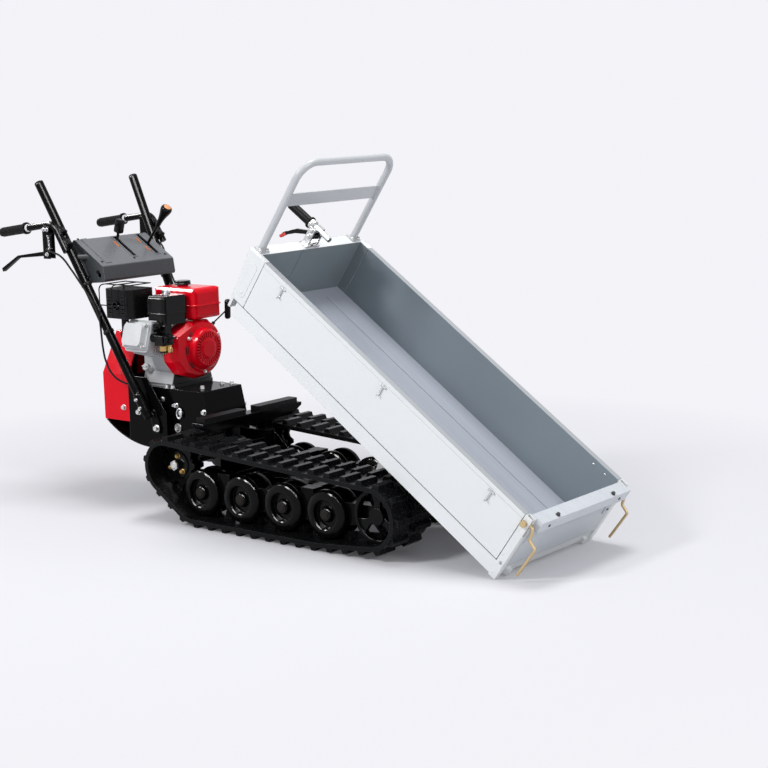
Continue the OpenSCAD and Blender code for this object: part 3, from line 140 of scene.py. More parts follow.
# Console deck, in millimetres: its upper and lower edge in the middle of the machine, and its directions
DECK_BACK = Vector((-846, 0, 915))
DECK_FRONT = Vector((-695, 0, 821))
DECK_TILT = math.atan2(DECK_BACK.z - DECK_FRONT.z, DECK_FRONT.x - DECK_BACK.x)
DECK_DOWN = Vector((math.cos(DECK_TILT), 0, -math.sin(DECK_TILT)))
DECK_OUT = Vector((math.sin(DECK_TILT), 0, math.cos(DECK_TILT)))
CONSOLE_HALF_W = 168

# Bolt heads, in millimetres: width across the flats, height, and radius of the washer
COVER_BOLT = (15, 8, 10.5)
ENGINE_FOOT_BOLT = (12, 8, 9)
FORK_BOLT = (17, 10, 13)
PINCH_BOLT = (9, 6, 6)
PLUG_BOLT = (13, 8, 9)
SMALL_BOLT = (10, 6, 7)
SPROCKET_NUT = (13, 9, 9)
ROCKER_BOLT = (9, 6, 6.5)
FAN_BOLT = (8, 5, 6.5)
BRACKET_BOLT = (10, 6, 7.5)
CONSOLE_BOLT = (8, 4, 7)
RELEASE_BOLT = (13, 7, 9)

# Thickness of a washer, height of a head's foot on it, and how deep a fitting is let in, in millimetres
WASHER_T = 2
HEAD_BASE = 1.5
SINK = 0.5


def at(x, y, z):
    """A point of the carrier in metres, from millimetres."""
    return Vector((x, y, z)) * MM


def mirrored(side, vector):
    """A point or direction of the left side, on either side of the machine."""
    x, y, z = vector
    return Vector((x, side * y, z))


def on_side(side, point):
    """A point of the left side in millimetres, on either side of the machine, in metres."""
    return mirrored(side, point) * MM


def on_bed(s, y, n):
    """A point of the bed in metres, from millimetres forward of the pivot, sideways and up from it."""
    return BED_PIVOT + (s * BED_ALONG + n * BED_UPWARD + y * SIDEWAYS) * MM


def on_cylinder(x, y, z):
    """A point of the cylinder in metres, from millimetres across, up its side and along it."""
    return (CRANK + x * FORWARD + y * CYLINDER_UP + z * CYLINDER_AXIS) * MM


def on_deck(t, y, off):
    """A point of the console deck in metres, from millimetres down its slope, sideways and off it."""
    return (DECK_BACK + t * DECK_DOWN + off * DECK_OUT + y * SIDEWAYS) * MM


def outward(side):
    """The direction away from the middle of the machine on one side."""
    return Vector((0, side, 0))


# Camera and control cables


def photo_camera():
    """Camera at the photograph's viewing angle, with its roll."""
    azimuth = math.radians(CAMERA_AZIMUTH)
    elevation = math.radians(CAMERA_ELEVATION)
    roll = math.radians(CAMERA_ROLL)
    level = Vector((math.cos(azimuth), math.sin(azimuth), 0))
    heading = Vector((-math.sin(azimuth), math.cos(azimuth), 0))
    forward = math.cos(elevation) * heading - math.sin(elevation) * UP
    up = level.cross(forward)
    right = math.cos(roll) * level + math.sin(roll) * up
    top = -math.sin(roll) * level + math.cos(roll) * up
    data = bpy.data.cameras.new("photo_camera")
    data.sensor_width = SENSOR_WIDTH
    data.lens = SENSOR_WIDTH * CAMERA_FOCAL_PX / PHOTO_SIZE
    data.clip_end = CAMERA_REACH
    camera = bpy.data.objects.new("photo_camera", data)
    turn = Matrix((right, top, -forward)).transposed()
    camera.matrix_world = Matrix.Translation(CAMERA_PLACE) @ turn.to_4x4()
    bpy.context.collection.objects.link(camera)
    bpy.context.scene.camera = camera


photo_camera()

# Route of the left control cable in millimetres, from the hand lever down into the rear housing
CABLE_ROUTE = [
    (-893, 246.8, 880), (-881, 247, 876), (-864, 246, 871), (-827, 240, 857), (-791, 226, 810),
    (-767, 217, 773), (-741, 209, 735), (-707, 204, 688), (-691, 201, 650), (-690, 198, 618),
    (-692, 194, 585), (-693, 189, 538), (-688, 184, 494), (-670, 168, 441), (-646, 154, 420),
    (-625, 141, 412), (-617, 132, 411), (-617, 126.1, 411),
]
CABLE_RADIUS = 3.5
CABLE_ROUNDNESS = 4
CABLE_STEPS = 6
MEASURE_STEPS = 24


def spline_length(spline):
    """Length of a Bezier spline in metres."""
    length = 0
    for a, b in zip(spline.bezier_points, spline.bezier_points[1:]):
        line = interpolate_bezier(a.co, a.handle_right, b.handle_left, b.co, MEASURE_STEPS)
        length += sum((q - p).length for p, q in zip(line, line[1:]))
    return length


def control_cable(side_name, side, material):
    """One cable as a smooth curve through its route; its length is measured, and the value is not used."""
    curve = bpy.data.curves.new(f"control_cable_{side_name}", "CURVE")
    curve.dimensions = "3D"
    curve.bevel_depth = CABLE_RADIUS * MM
    curve.bevel_resolution = CABLE_ROUNDNESS
    curve.resolution_u = CABLE_STEPS
    curve.use_fill_caps = True
    spline = curve.splines.new("BEZIER")
    spline.bezier_points.add(len(CABLE_ROUTE) - 1)
    for knot, point in zip(spline.bezier_points, CABLE_ROUTE):
        knot.co = on_side(side, point)
        knot.handle_left_type = "AUTO"
        knot.handle_right_type = "AUTO"
    curve.materials.append(material)
    cable = bpy.data.objects.new(curve.name, curve)
    bpy.context.collection.objects.link(cable)
    bpy.context.view_layer.update()
    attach(cable, CARRIER)
    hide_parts("control_cables")
    spline_length(spline)


# Nodes that the materials share

SOFT_EDGE = 0.0014
BEVEL_SAMPLES = 6
COAT_ROUGHNESS = 0.08

# Span of a noise that holds most of its values
NOISE_LOW = 0.3
NOISE_HIGH = 0.7

# Cosines between a face and the rounded normal, where an edge's lighter colour starts and where it is full:
# part rub, part painted highlight
EDGE_RUB_AND_HIGHLIGHT_START = 0.995
EDGE_RUB_AND_HIGHLIGHT_FULL = 0.86

# Cosines between a face and straight up, where the painted top light starts and where it is full
TOP_LIGHT_START = 0.35
TOP_LIGHT_FULL = 0.75


def new_material(name, colour, roughness, metallic=0.0, specular=0.5):
    """A material with a Principled shader at these values; returns it with its node tree and shader."""
    material = bpy.data.materials.new(name)
    material.use_nodes = True
    tree = material.node_tree
    shader = tree.nodes["Principled BSDF"]
    shader.inputs["Base Color"].default_value = (*colour, 1)
    shader.inputs["Roughness"].default_value = roughness
    shader.inputs["Metallic"].default_value = metallic
    shader.inputs["Specular IOR Level"].default_value = specular
    return material, tree, shader


def object_coords(tree):
    """Place of a surface point on its own object, which sits at the origin."""
    return tree.nodes.new("ShaderNodeTexCoord").outputs["Object"]


def noise_on(tree, coords, scale, detail):
    """Noise on a vector; returns its factor socket."""
    noise = tree.nodes.new("ShaderNodeTexNoise")
    noise.inputs["Scale"].default_value = scale
    noise.inputs["Detail"].default_value = detail
    tree.links.new(coords, noise.inputs["Vector"])
    return noise.outputs["Fac"]


def object_noise(tree, scale, detail=4):
    """Noise on Object coordinates; returns its factor socket."""
    return noise_on(tree, object_coords(tree), scale, detail)


def map_range(tree, value, from_low, from_high, to_low=0, to_high=1):
    """A value carried from one span to another, held at the ends."""
    node = tree.nodes.new("ShaderNodeMapRange")
    node.inputs["From Min"].default_value = from_low
    node.inputs["From Max"].default_value = from_high
    node.inputs["To Min"].default_value = to_low
    node.inputs["To Max"].default_value = to_high
    tree.links.new(value, node.inputs["Value"])
    return node.outputs["Result"]


def combine(tree, operation, first, second):
    """Math on two sockets; returns the result's socket."""
    node = tree.nodes.new("ShaderNodeMath")
    node.operation = operation
    tree.links.new(first, node.inputs[0])
    tree.links.new(second, node.inputs[1])
    return node.outputs["Value"]


def vector_math(tree, operation, first, second):
    """Vector Math on a socket and either another socket or a constant; returns the node."""
    node = tree.nodes.new("ShaderNodeVectorMath")
    node.operation = operation
    tree.links.new(first, node.inputs[0])
    if isinstance(second, bpy.types.NodeSocket):
        tree.links.new(second, node.inputs[1])
    else:
        node.inputs[1].default_value = second
    return node


def along(tree, vector, direction):
    """How far a vector reaches along a direction."""
    return vector_math(tree, "DOT_PRODUCT", vector, direction).outputs["Value"]


def mix_colour(tree, factor, low, high):
    """Colour between two colours; each is a constant or a socket."""
    node = tree.nodes.new("ShaderNodeMix")
    node.data_type = "RGBA"
    tree.links.new(factor, node.inputs["Factor"])
    for socket, colour in ((node.inputs[6], low), (node.inputs[7], high)):
        if isinstance(colour, bpy.types.NodeSocket):
            tree.links.new(colour, socket)
        else:
            socket.default_value = (*colour, 1)
    return node.outputs[2]


def shade(colour, share):
    """A colour made darker or lighter."""
    return tuple(min(1, c * share) for c in colour)


def mottled(tree, factor, colour, darkest, lightest):
    """A colour that a noise makes a little darker and lighter from place to place."""
    return mix_colour(tree, factor, shade(colour, darkest), shade(colour, lightest))


def vary_roughness(tree, shader, factor, roughness, less, more):
    """Lets a noise take the roughness down and up from its middle value."""
    rough = map_range(tree, factor, NOISE_LOW, NOISE_HIGH, roughness - less, roughness + more)
    tree.links.new(rough, shader.inputs["Roughness"])


def soft_normal(tree, radius=SOFT_EDGE):
    """Normal that rounds sharp edges off."""
    bevel = tree.nodes.new("ShaderNodeBevel")
    bevel.samples = BEVEL_SAMPLES
    bevel.inputs["Radius"].default_value = radius
    return bevel.outputs["Normal"]


def face_normal(tree):
    """Normal of the flat face, without any smoothing."""
    return tree.nodes.new("ShaderNodeNewGeometry").outputs["True Normal"]


def edge_mask(tree, normal):
    """1 along sharp edges and 0 on open faces."""
    return map_range(tree, along(tree, normal, face_normal(tree)), EDGE_RUB_AND_HIGHLIGHT_START, EDGE_RUB_AND_HIGHLIGHT_FULL)


def upward_share(tree):
    """1 on faces that look up and 0 on upright faces."""
    return map_range(tree, along(tree, face_normal(tree), UP), TOP_LIGHT_START, TOP_LIGHT_FULL)


def add_bump(tree, shader, height, strength, distance, normal):
    """Relief from a height, on top of a normal."""
    bump = tree.nodes.new("ShaderNodeBump")
    bump.inputs["Strength"].default_value = strength
    bump.inputs["Distance"].default_value = distance
    tree.links.new(height, bump.inputs["Height"])
    tree.links.new(normal, bump.inputs["Normal"])
    tree.links.new(bump.outputs["Normal"], shader.inputs["Normal"])


# Kinds of finish


def paint(name, colour, roughness, specular, coat=0.0, edge=SOFT_EDGE, edge_rub_and_highlight=None):
    """Paint with a faint ripple, slow changes of tone, and a clear coat and lighter edges where given; the
    lighter edges are part rub and part painted highlight.
    """
    material, tree, shader = new_material(name, colour, roughness, specular=specular)
    shader.inputs["Coat Weight"].default_value = coat
    shader.inputs["Coat Roughness"].default_value = COAT_ROUGHNESS
    tone = mottled(tree, object_noise(tree, scale=5), colour, darkest=0.93, lightest=1.06)
    normal = soft_normal(tree, edge)
    # Lighter colour along the edges: part rub, part painted highlight
    if edge_rub_and_highlight:
        tone = mix_colour(tree, edge_mask(tree, normal), tone, edge_rub_and_highlight)
    tree.links.new(tone, shader.inputs["Base Color"])
    vary_roughness(tree, shader, object_noise(tree, scale=14), roughness, less=0.05, more=0.08)
    ripple = object_noise(tree, scale=320, detail=2)
    add_bump(tree, shader, ripple, strength=0.025, distance=0.0004, normal=normal)
    return material


def moulded(name, colour, roughness, grain, specular=0.5, depth=0.25, edge_rub_and_highlight=None, painted_top_light=None):
    """Moulded plastic, rubber or cast metal with a fine grain. Edges are made lighter where their colour is
    given, part rub and part painted highlight, and faces that look up are made lighter where the top-light
    colour is given, as painted top light."""
    material, tree, shader = new_material(name, colour, roughness, specular=specular)
    relief = object_noise(tree, grain, detail=6)
    normal = soft_normal(tree, radius=0.002)
    tone = mottled(tree, object_noise(tree, scale=11), colour, darkest=0.82, lightest=1.2)
    # Painted top light: faces that look up get a lighter colour
    if painted_top_light:
        tone = mix_colour(tree, upward_share(tree), tone, painted_top_light)
    # Lighter colour along the edges: part rub, part painted highlight
    if edge_rub_and_highlight:
        tone = mix_colour(tree, edge_mask(tree, normal), tone, edge_rub_and_highlight)
    tree.links.new(tone, shader.inputs["Base Color"])
    vary_roughness(tree, shader, relief, roughness, less=0.08, more=0.1)
    add_bump(tree, shader, relief, strength=depth, distance=0.0006, normal=normal)
    return material


def bare_metal(name, colour, roughness, grain, depth):
    """Metal with its fine tool grain and slow changes of tone."""
    material, tree, shader = new_material(name, colour, roughness, metallic=1.0)
    relief = object_noise(tree, grain, detail=5)
    tone = mottled(tree, object_noise(tree, scale=16), colour, darkest=0.86, lightest=1.08)
    tree.links.new(tone, shader.inputs["Base Color"])
    vary_roughness(tree, shader, relief, roughness, less=0.07, more=0.1)
    add_bump(tree, shader, relief, strength=depth, distance=0.0004, normal=soft_normal(tree))
    return material


# Black foot of the engine block, in millimetres: its rear end, its top, half the width of its edge
FOOT_BACK = -466
FOOT_TOP = 460
FOOT_BLUR = 2
FOOT_BLACK = (0.004, 0.004, 0.004)


def block_alloy(name, colour, roughness):
    """Cast alloy of the engine block, made black on its foot under the fan cover."""
    material = moulded(name, colour, roughness, grain=150, specular=0.4, depth=0.12)
    tree = material.node_tree
    base = tree.nodes["Principled BSDF"].inputs["Base Color"]
    bare = base.links[0].from_socket
    place = object_coords(tree)
    ahead = along(tree, place, FORWARD)
    height = along(tree, place, UP)
    front = map_range(tree, ahead, (FOOT_BACK - FOOT_BLUR) * MM, (FOOT_BACK + FOOT_BLUR) * MM)
    below = map_range(tree, height, (FOOT_TOP + FOOT_BLUR) * MM, (FOOT_TOP - FOOT_BLUR) * MM)
    # Black on the foot under the fan cover
    painted = combine(tree, "MULTIPLY", front, below)
    tree.links.new(mix_colour(tree, painted, bare, FOOT_BLACK), base)
    return material


def bed_distance(tree, direction):
    """Distance of a surface point from the bed's pivot along one of the bed's directions, in metres."""
    offset = vector_math(tree, "SUBTRACT", object_coords(tree), BED_PIVOT).outputs["Vector"]
    return along(tree, offset, direction)


# Bed walls: gloss, and how far below the top the turned rim's grey starts and is full, in millimetres
WALL_ROUGHNESS = 0.36
WALL_SPECULAR = 0.25
RIM_START = 0.6
RIM_FULL = 0.3


def wall_paint(name, outside, inside, limits, rim=None):
    """Bed sheet, white outside and grey on the face towards the load. Each limit is a direction, the
    distance along it where the grey starts and where it is full. The turned rim may have its own grey."""
    material, tree, shader = new_material(name, outside, WALL_ROUGHNESS, specular=WALL_SPECULAR)
    shares = [map_range(tree, bed_distance(tree, direction), start * MM, full * MM)
              for direction, start, full in limits]
    mask = shares[0]
    for share in shares[1:]:
        mask = combine(tree, "MULTIPLY", mask, share)
    slow = object_noise(tree, scale=2.2, detail=3)
    white = mottled(tree, slow, outside, darkest=0.985, lightest=1.01)
    if rim:
        height = bed_distance(tree, BED_UPWARD)
        top = map_range(tree, height, (BED_TOP - RIM_START) * MM, (BED_TOP - RIM_FULL) * MM)
        white = mix_colour(tree, top, white, rim)
    grey = mottled(tree, slow, inside, darkest=0.86, lightest=1.12)
    tree.links.new(mix_colour(tree, mask, white, grey), shader.inputs["Base Color"])
    vary_roughness(tree, shader, object_noise(tree, scale=26), WALL_ROUGHNESS, less=0.04, more=0.08)
    ripple = object_noise(tree, scale=240, detail=2)
    add_bump(tree, shader, ripple, strength=0.05, distance=0.0004, normal=soft_normal(tree))
    return material


# Size of a rolling streak along, across and through the sheet, in metres
STREAK_SIZE = (0.9, 0.012, 0.02)
SHEET_SPECULAR = 0.22


def sheet_grey(name, colour, roughness):
    """Grey sheet steel with the long faint streaks of rolling, which run along the bed."""
    material, tree, shader = new_material(name, colour, roughness, specular=SHEET_SPECULAR)
    turn = tree.nodes.new("ShaderNodeMapping")
    turn.vector_type = "TEXTURE"
    turn.inputs["Rotation"].default_value = (0, BED_TIP, 0)
    turn.inputs["Scale"].default_value = STREAK_SIZE
    tree.links.new(object_coords(tree), turn.inputs["Vector"])
    streak = noise_on(tree, turn.outputs["Vector"], scale=1, detail=5)
    tree.links.new(mottled(tree, streak, colour, darkest=0.9, lightest=1.1), shader.inputs["Base Color"])
    vary_roughness(tree, shader, streak, roughness, less=0.08, more=0.08)
    add_bump(tree, shader, streak, strength=0.05, distance=0.0003, normal=soft_normal(tree))
    return material


# Finishes of this machine, in linear colours

# An edge colour given below makes the edges lighter: part rub, part painted highlight
WHITE = (0.80, 0.82, 0.825)
RIM = (0.40, 0.42, 0.44)
WALL_GREY = (0.235, 0.273, 0.305)
HEADBOARD_GREY = (0.235, 0.272, 0.292)
GLOSS_BLACK = (0.0025, 0.0025, 0.0027)

frame_black = paint("frame_black", GLOSS_BLACK, roughness=0.1, specular=0.05, edge=0.004,
                    edge_rub_and_highlight=(0.02, 0.02, 0.022))
tube_black = paint("tube_black", GLOSS_BLACK, roughness=0.12, specular=0.06, edge=0.009)
wheel_black = paint("wheel_black", (0.0025, 0.0027, 0.0027), roughness=0.1, specular=0.1, edge=0.004)
tank_red = paint("tank_red", (0.72, 0.001, 0.012), roughness=0.12, specular=0.12, edge=0.003)
base_white = paint("base_white", WHITE, roughness=WALL_ROUGHNESS, specular=WALL_SPECULAR)
guard_silver = paint("guard_silver", (0.54, 0.555, 0.57), roughness=0.3, specular=0.6, coat=0.2)

# The grey of each wall starts just behind its inner face, and the headboard's also ends at its edges
left_wall = [(SIDEWAYS, BED_INNER + 1.2, BED_INNER + 0.6)]
right_wall = [(-SIDEWAYS, BED_INNER + 1.2, BED_INNER + 0.6)]
head_wall = [(BED_ALONG, HEADBOARD_FACE - 3, HEADBOARD_FACE - 1.5),
             (BED_UPWARD, BED_TOP - 0.8, BED_TOP - 1.4),
             (SIDEWAYS, BED_INNER + 0.6, BED_INNER + 0.2),
             (-SIDEWAYS, BED_INNER + 0.6, BED_INNER + 0.2)]
left_wall_paint = wall_paint("left_wall_paint", WHITE, WALL_GREY, left_wall, RIM)
right_wall_paint = wall_paint("right_wall_paint", WHITE, WALL_GREY, right_wall, RIM)
headboard_paint = wall_paint("headboard_paint", WHITE, HEADBOARD_GREY, head_wall)
corner_grey = sheet_grey("corner_grey", WALL_GREY, roughness=0.4)
floor_grey = sheet_grey("floor_grey", (0.44, 0.47, 0.53), roughness=0.4)
gate_grey = sheet_grey("gate_grey", (0.60, 0.63, 0.665), roughness=0.42)

track_rubber = moulded("track_rubber", (0.004, 0.0045, 0.0045), roughness=0.26, grain=130, specular=0.1,
                       depth=0.03, edge_rub_and_highlight=(0.03, 0.032, 0.034))
grip_rubber = moulded("grip_rubber", (0.004, 0.004, 0.0043), roughness=0.4, grain=190, specular=0.12,
                      edge_rub_and_highlight=(0.03, 0.03, 0.03))
cable_skin = moulded("cable_skin", (0.006, 0.006, 0.0065), roughness=0.35, grain=300, specular=0.25)
black_plastic = moulded("black_plastic", (0.003, 0.003, 0.0033), roughness=0.16, grain=240, specular=0.16,
                        depth=0.02)
# The console's faces that look up get a lighter colour: painted top light
console_plastic = moulded("console_plastic", (0.040, 0.044, 0.048), roughness=0.3, grain=300, specular=0.4,
                          depth=0.04, edge_rub_and_highlight=(0.2, 0.205, 0.21), painted_top_light=(0.135, 0.142, 0.152))
muffler_black = moulded("muffler_black", (0.004, 0.004, 0.0043), roughness=0.3, grain=120, specular=0.14,
                        depth=0.1, edge_rub_and_highlight=(0.1, 0.1, 0.105))
gear_iron = moulded("gear_iron", (0.04, 0.042, 0.045), roughness=0.5, grain=80)
cast_alloy = moulded("cast_alloy", (0.62, 0.63, 0.64), roughness=0.3, grain=150, specular=0.4, depth=0.06,
                     edge_rub_and_highlight=(0.74, 0.75, 0.76))
engine_alloy = block_alloy("engine_alloy", (0.47, 0.48, 0.49), roughness=0.34)
mark_orange = moulded("mark_orange", (0.58, 0.14, 0.015), roughness=0.45, grain=260, specular=0.4,
                      depth=0.05)
knob_tan = moulded("knob_tan", (0.72, 0.30, 0.12), roughness=0.4, grain=260, specular=0.4, depth=0.05)
ring_white = moulded("ring_white", (0.74, 0.75, 0.75), roughness=0.4, grain=240, specular=0.4, depth=0.05)
lever_red = moulded("lever_red", (0.60, 0.05, 0.04), roughness=0.35, grain=240, specular=0.4, depth=0.05)

bright_steel = bare_metal("bright_steel", (0.66, 0.67, 0.675), roughness=0.28, grain=200, depth=0.02)
zinc_plate = bare_metal("zinc_plate", (0.68, 0.68, 0.66), roughness=0.3, grain=160, depth=0.03)
brass = bare_metal("brass", (0.52, 0.35, 0.13), roughness=0.32, grain=160, depth=0.03)
gold_plate = bare_metal("gold_plate", (0.66, 0.50, 0.28), roughness=0.34, grain=160, depth=0.03)
hub_bronze = bare_metal("hub_bronze", (0.03, 0.026, 0.024), roughness=0.45, grain=140, depth=0.05)

NODE_FINISH = {
    frame_black: ["chassis_frame", "gearbox_cover", "rear_housing", "bed_rest_beam", "track_beam_l",
                  "track_beam_r", "hand_lever_l", "hand_lever_r"],
    tube_black: ["handle_tubes", "handlebar_l", "handlebar_r"],
    wheel_black: [name for name in nodes if name.startswith(("road_wheel", "idler", "sprocket"))],
    track_rubber: ["track_l", "track_r"],
    grip_rubber: ["rest_pads", "hand_grips", "drive_belt", "release_grip"],
    tank_red: ["belt_cover", "fan_cover", "fuel_tank"],
    base_white: ["bed_base"],
    left_wall_paint: ["side_panel_l"],
    right_wall_paint: ["side_panel_r"],
    headboard_paint: ["headboard"],
    floor_grey: ["bed_floor"],
    gate_grey: ["tailgate"],
    guard_silver: ["guard_rail"],
    bright_steel: ["pivot_shaft", "rope_hooks", "release_bracket", "drive_pulley", "driven_pulley"],
    engine_alloy: ["engine_block"],
    cast_alloy: ["rocker_cover"],
    gear_iron: ["transaxle"],
    black_plastic: ["fuel_cap", "air_cleaner", "starter_grip", "speed_lever", "throttle_lever",
                    "release_lever", "carburettor"],
    console_plastic: ["console_shell"],
    muffler_black: ["muffler", "muffler_guard"],
    gold_plate: ["latch_l", "latch_r"],
}

for finish, names in NODE_FINISH.items():
    for name in names:
        mesh = nodes[name].data
        mesh.materials.clear()
        mesh.materials.append(finish)
for side_name, side in SIDES.items():
    control_cable(side_name, side, cable_skin)


# Shapes of small pieces, drawn in millimetres round their own +Z

EDGE_SEGMENTS = 2
SHARP_EDGE = math.radians(30)
SMOOTH_LIMIT = math.radians(35)
MERGE_DISTANCE = 1e-6


def close_turn(form):
    """Merges the ends of a full turn and points the faces outwards."""
    bmesh.ops.remove_doubles(form, verts=form.verts, dist=MERGE_DISTANCE)
    bmesh.ops.recalc_face_normals(form, faces=form.faces)


def turned(profile, steps=24):
    """A turned shape from its profile of (radius, height)."""
    form = bmesh.new()
    knots = [form.verts.new((r * MM, 0, h * MM)) for r, h in profile]
    edges = [form.edges.new(pair) for pair in zip(knots, knots[1:])]
    bmesh.ops.spin(form, geom=knots + edges, cent=(0, 0, 0), axis=UP, angle=FULL_TURN, steps=steps,
                   use_merge=True)
    close_turn(form)
    return form


def bevel(form, edges, width):
    """Rounds some edges of a shape off, by a width in millimetres."""
    bmesh.ops.bevel(form, geom=edges, offset=width * MM, offset_type="OFFSET", segments=EDGE_SEGMENTS,
                    profile=0.5, affect="EDGES", material=-1)


def block(length, width, height, rounding):
    """Box with rounded edges, standing on its base."""
    form = bmesh.new()
    bmesh.ops.create_cube(form, size=1)
    bmesh.ops.scale(form, vec=at(length, width, height), verts=form.verts)
    bmesh.ops.translate(form, vec=at(0, 0, height / 2), verts=form.verts)
    bevel(form, [edge for edge in form.edges if edge.calc_face_angle() > SHARP_EDGE], rounding)
    return form


def hex_head(across, height, base=0):
    """Six-sided head with a chamfered top and a shallow dish in it."""
    radius = across / math.sqrt(3) * MM
    form = bmesh.new()
    bmesh.ops.create_cone(form, cap_ends=True, segments=6, radius1=radius, radius2=radius, depth=height * MM)
    bmesh.ops.translate(form, vec=at(0, 0, base + height / 2), verts=form.verts)
    top = max(form.faces, key=lambda face: face.calc_center_median().z)
    bevel(form, list(top.edges), 0.12 * height)
    top = max(form.faces, key=lambda face: (face.calc_center_median().z, face.calc_area()))
    bmesh.ops.inset_region(form, faces=[top], thickness=0.16 * across * MM, depth=-0.08 * height * MM)
    return form


def dome(radius, height, steps=16, rings=5):
    """Low round head, as of a rivet."""
    angles = [i * math.pi / 2 / rings for i in range(rings + 1)]
    rise = [(radius * math.cos(a), height * math.sin(a)) for a in angles]
    return turned([(radius, -SINK)] + rise, steps)


def washer(radius):
    """Flat washer with a rounded upper edge."""
    profile = [(0, -SINK), (radius, -SINK), (radius, 0.7 * WASHER_T), (radius - 0.5, WASHER_T),
               (0, WASHER_T)]
    return turned(profile, 28)


def band(inner_r, outer_r, width, lip=0.6):
    """Ring round a tube, with chamfered edges."""
    profile = [(inner_r, 0), (outer_r - lip, 0), (outer_r, 1), (outer_r, width - 1),
               (outer_r - lip, width), (inner_r, width)]
    return turned(profile, 32)


def wire_section(wire_r, turn_r, sides):
    """Round section of a wire at its radius of turn, ready to be spun round +Z."""
    form = bmesh.new()
    bmesh.ops.create_circle(form, cap_ends=False, segments=sides, radius=wire_r * MM)
    bmesh.ops.rotate(form, verts=form.verts, matrix=Matrix.Rotation(math.pi / 2, 3, "X"))
    bmesh.ops.translate(form, vec=at(turn_r, 0, 0), verts=form.verts)
    return form


def wire_ring(wire_r, turn_r, sides=10, steps=32):
    """Closed ring of round wire."""
    form = wire_section(wire_r, turn_r, sides)
    bmesh.ops.spin(form, geom=form.verts[:] + form.edges[:], cent=(0, 0, 0), axis=UP, angle=FULL_TURN,
                   steps=steps, use_merge=True)
    close_turn(form)
    return form


def wire_coil(wire_r, turn_r, pitch, turns, sides=8, steps=14):
    """Coil spring with closed wire ends."""
    form = wire_section(wire_r, turn_r, sides)
    bmesh.ops.spin(form, geom=form.verts[:] + form.edges[:], cent=(0, 0, 0), axis=UP,
                   dvec=at(0, 0, pitch / steps), angle=turns * FULL_TURN, steps=turns * steps)
    ends = [edge for edge in form.edges if edge.is_boundary]
    bmesh.ops.holes_fill(form, edges=ends, sides=sides)
    bmesh.ops.recalc_face_normals(form, faces=form.faces)
    return form


# Placing of shapes, and pieces


def stand(form, place, axis):
    """Turns the shape's +Z to the axis and puts it at the place, in metres."""
    turn = Vector(axis).to_track_quat("Z", "Y").to_matrix().to_4x4()
    bmesh.ops.transform(form, matrix=Matrix.Translation(place) @ turn, verts=form.verts)
    return form


def lay(form, place, turn):
    """Turns the shape by a matrix and puts it at the place, in metres."""
    bmesh.ops.rotate(form, verts=form.verts, matrix=turn)
    bmesh.ops.translate(form, verts=form.verts, vec=place)
    return form


def bolt(place, axis, size):
    """Hexagon bolt head on its washer."""
    across, height, washer_r = size
    return [stand(washer(washer_r), place, axis), stand(hex_head(across, height, HEAD_BASE), place, axis)]


def bolt_pair(point, size):
    """The same bolt on both sides of the machine, pointing outwards."""
    return [form for side in SIDES.values() for form in bolt(on_side(side, point), outward(side), size)]


def piece(name, forms, material, body):
    """Joins shapes into one piece with one finish, which rides on a body."""
    mesh = bpy.data.meshes.new(name)
    whole = bmesh.new()
    for form in forms:
        form.to_mesh(mesh)
        form.free()
        whole.from_mesh(mesh)
    whole.to_mesh(mesh)
    whole.free()
    mesh.polygons.foreach_set("use_smooth", [True] * len(mesh.polygons))
    mesh.set_sharp_from_angle(angle=SMOOTH_LIMIT)
    mesh.materials.append(material)
    made = bpy.data.objects.new(name, mesh)
    bpy.context.collection.objects.link(made)
    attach(made, body)


# Frame and covers


def cover_bolts():
    """Bolts of the gearbox cover, the rear housing, the engine's feet and the handle's forks."""
    side_spots = ((-508, COVER_HALF_W, 361), (-308, COVER_HALF_W, 334),
                  (-597, HOUSING_HALF_W, 313), (-671, HOUSING_HALF_W, 323))
    engine_feet = ((-490, -88), (-463, -88), (-373, -35), (-345, 82), (-373, 62), (-490, 88))
    fork = (-503, 133, 266.3)
    forms = []
    for spot in side_spots:
        forms += bolt_pair(spot, COVER_BOLT)
    for x, y in engine_feet:
        forms += bolt(at(x, y, COVER_TOP), UP, ENGINE_FOOT_BOLT)
    forms += bolt_pair(fork, FORK_BOLT)
    piece("cover_bolts", forms, zinc_plate, CARRIER)


def sleeve_bolts():
    """Pinch bolts at the foot of each handle tube."""
    sleeve_r = 18.5
    shares_up_tube = (0.045, 0.08)
    forms = []
    for side in SIDES.values():
        for share in shares_up_tube:
            spot = TUBE_LOW.lerp(TUBE_HIGH, share) + sleeve_r * SIDEWAYS
            forms += bolt(on_side(side, spot), outward(side), PINCH_BOLT)
    piece("sleeve_bolts", forms, bright_steel, CARRIER)


def filler_plug():
    """Filler with a ring pull, and two bolts beside it, on the right side of the gearbox cover."""
    plug_x, plug_z, plug_h = -420, 321, 9
    out = outward(SIDES["right"])
    ring = wire_ring(wire_r=2.6, turn_r=13)
    bmesh.ops.scale(ring, vec=(0.8, 1.25, 1), verts=ring.verts)
    plug = turned([(0, 0), (11, 0), (11, 5), (8, 8), (5, plug_h), (0, plug_h)])
    forms = [stand(ring, at(plug_x, -COVER_HALF_W - plug_h, plug_z), (0.25, -1, 0.15)),
             stand(plug, at(plug_x, -COVER_HALF_W, plug_z), out)]
    forms += bolt(at(-440, -COVER_HALF_W, 346), out, PLUG_BOLT)
    forms += bolt(at(-452, -COVER_HALF_W, 345), out, SMALL_BOLT)
    piece("filler_plug", forms, bright_steel, CARRIER)


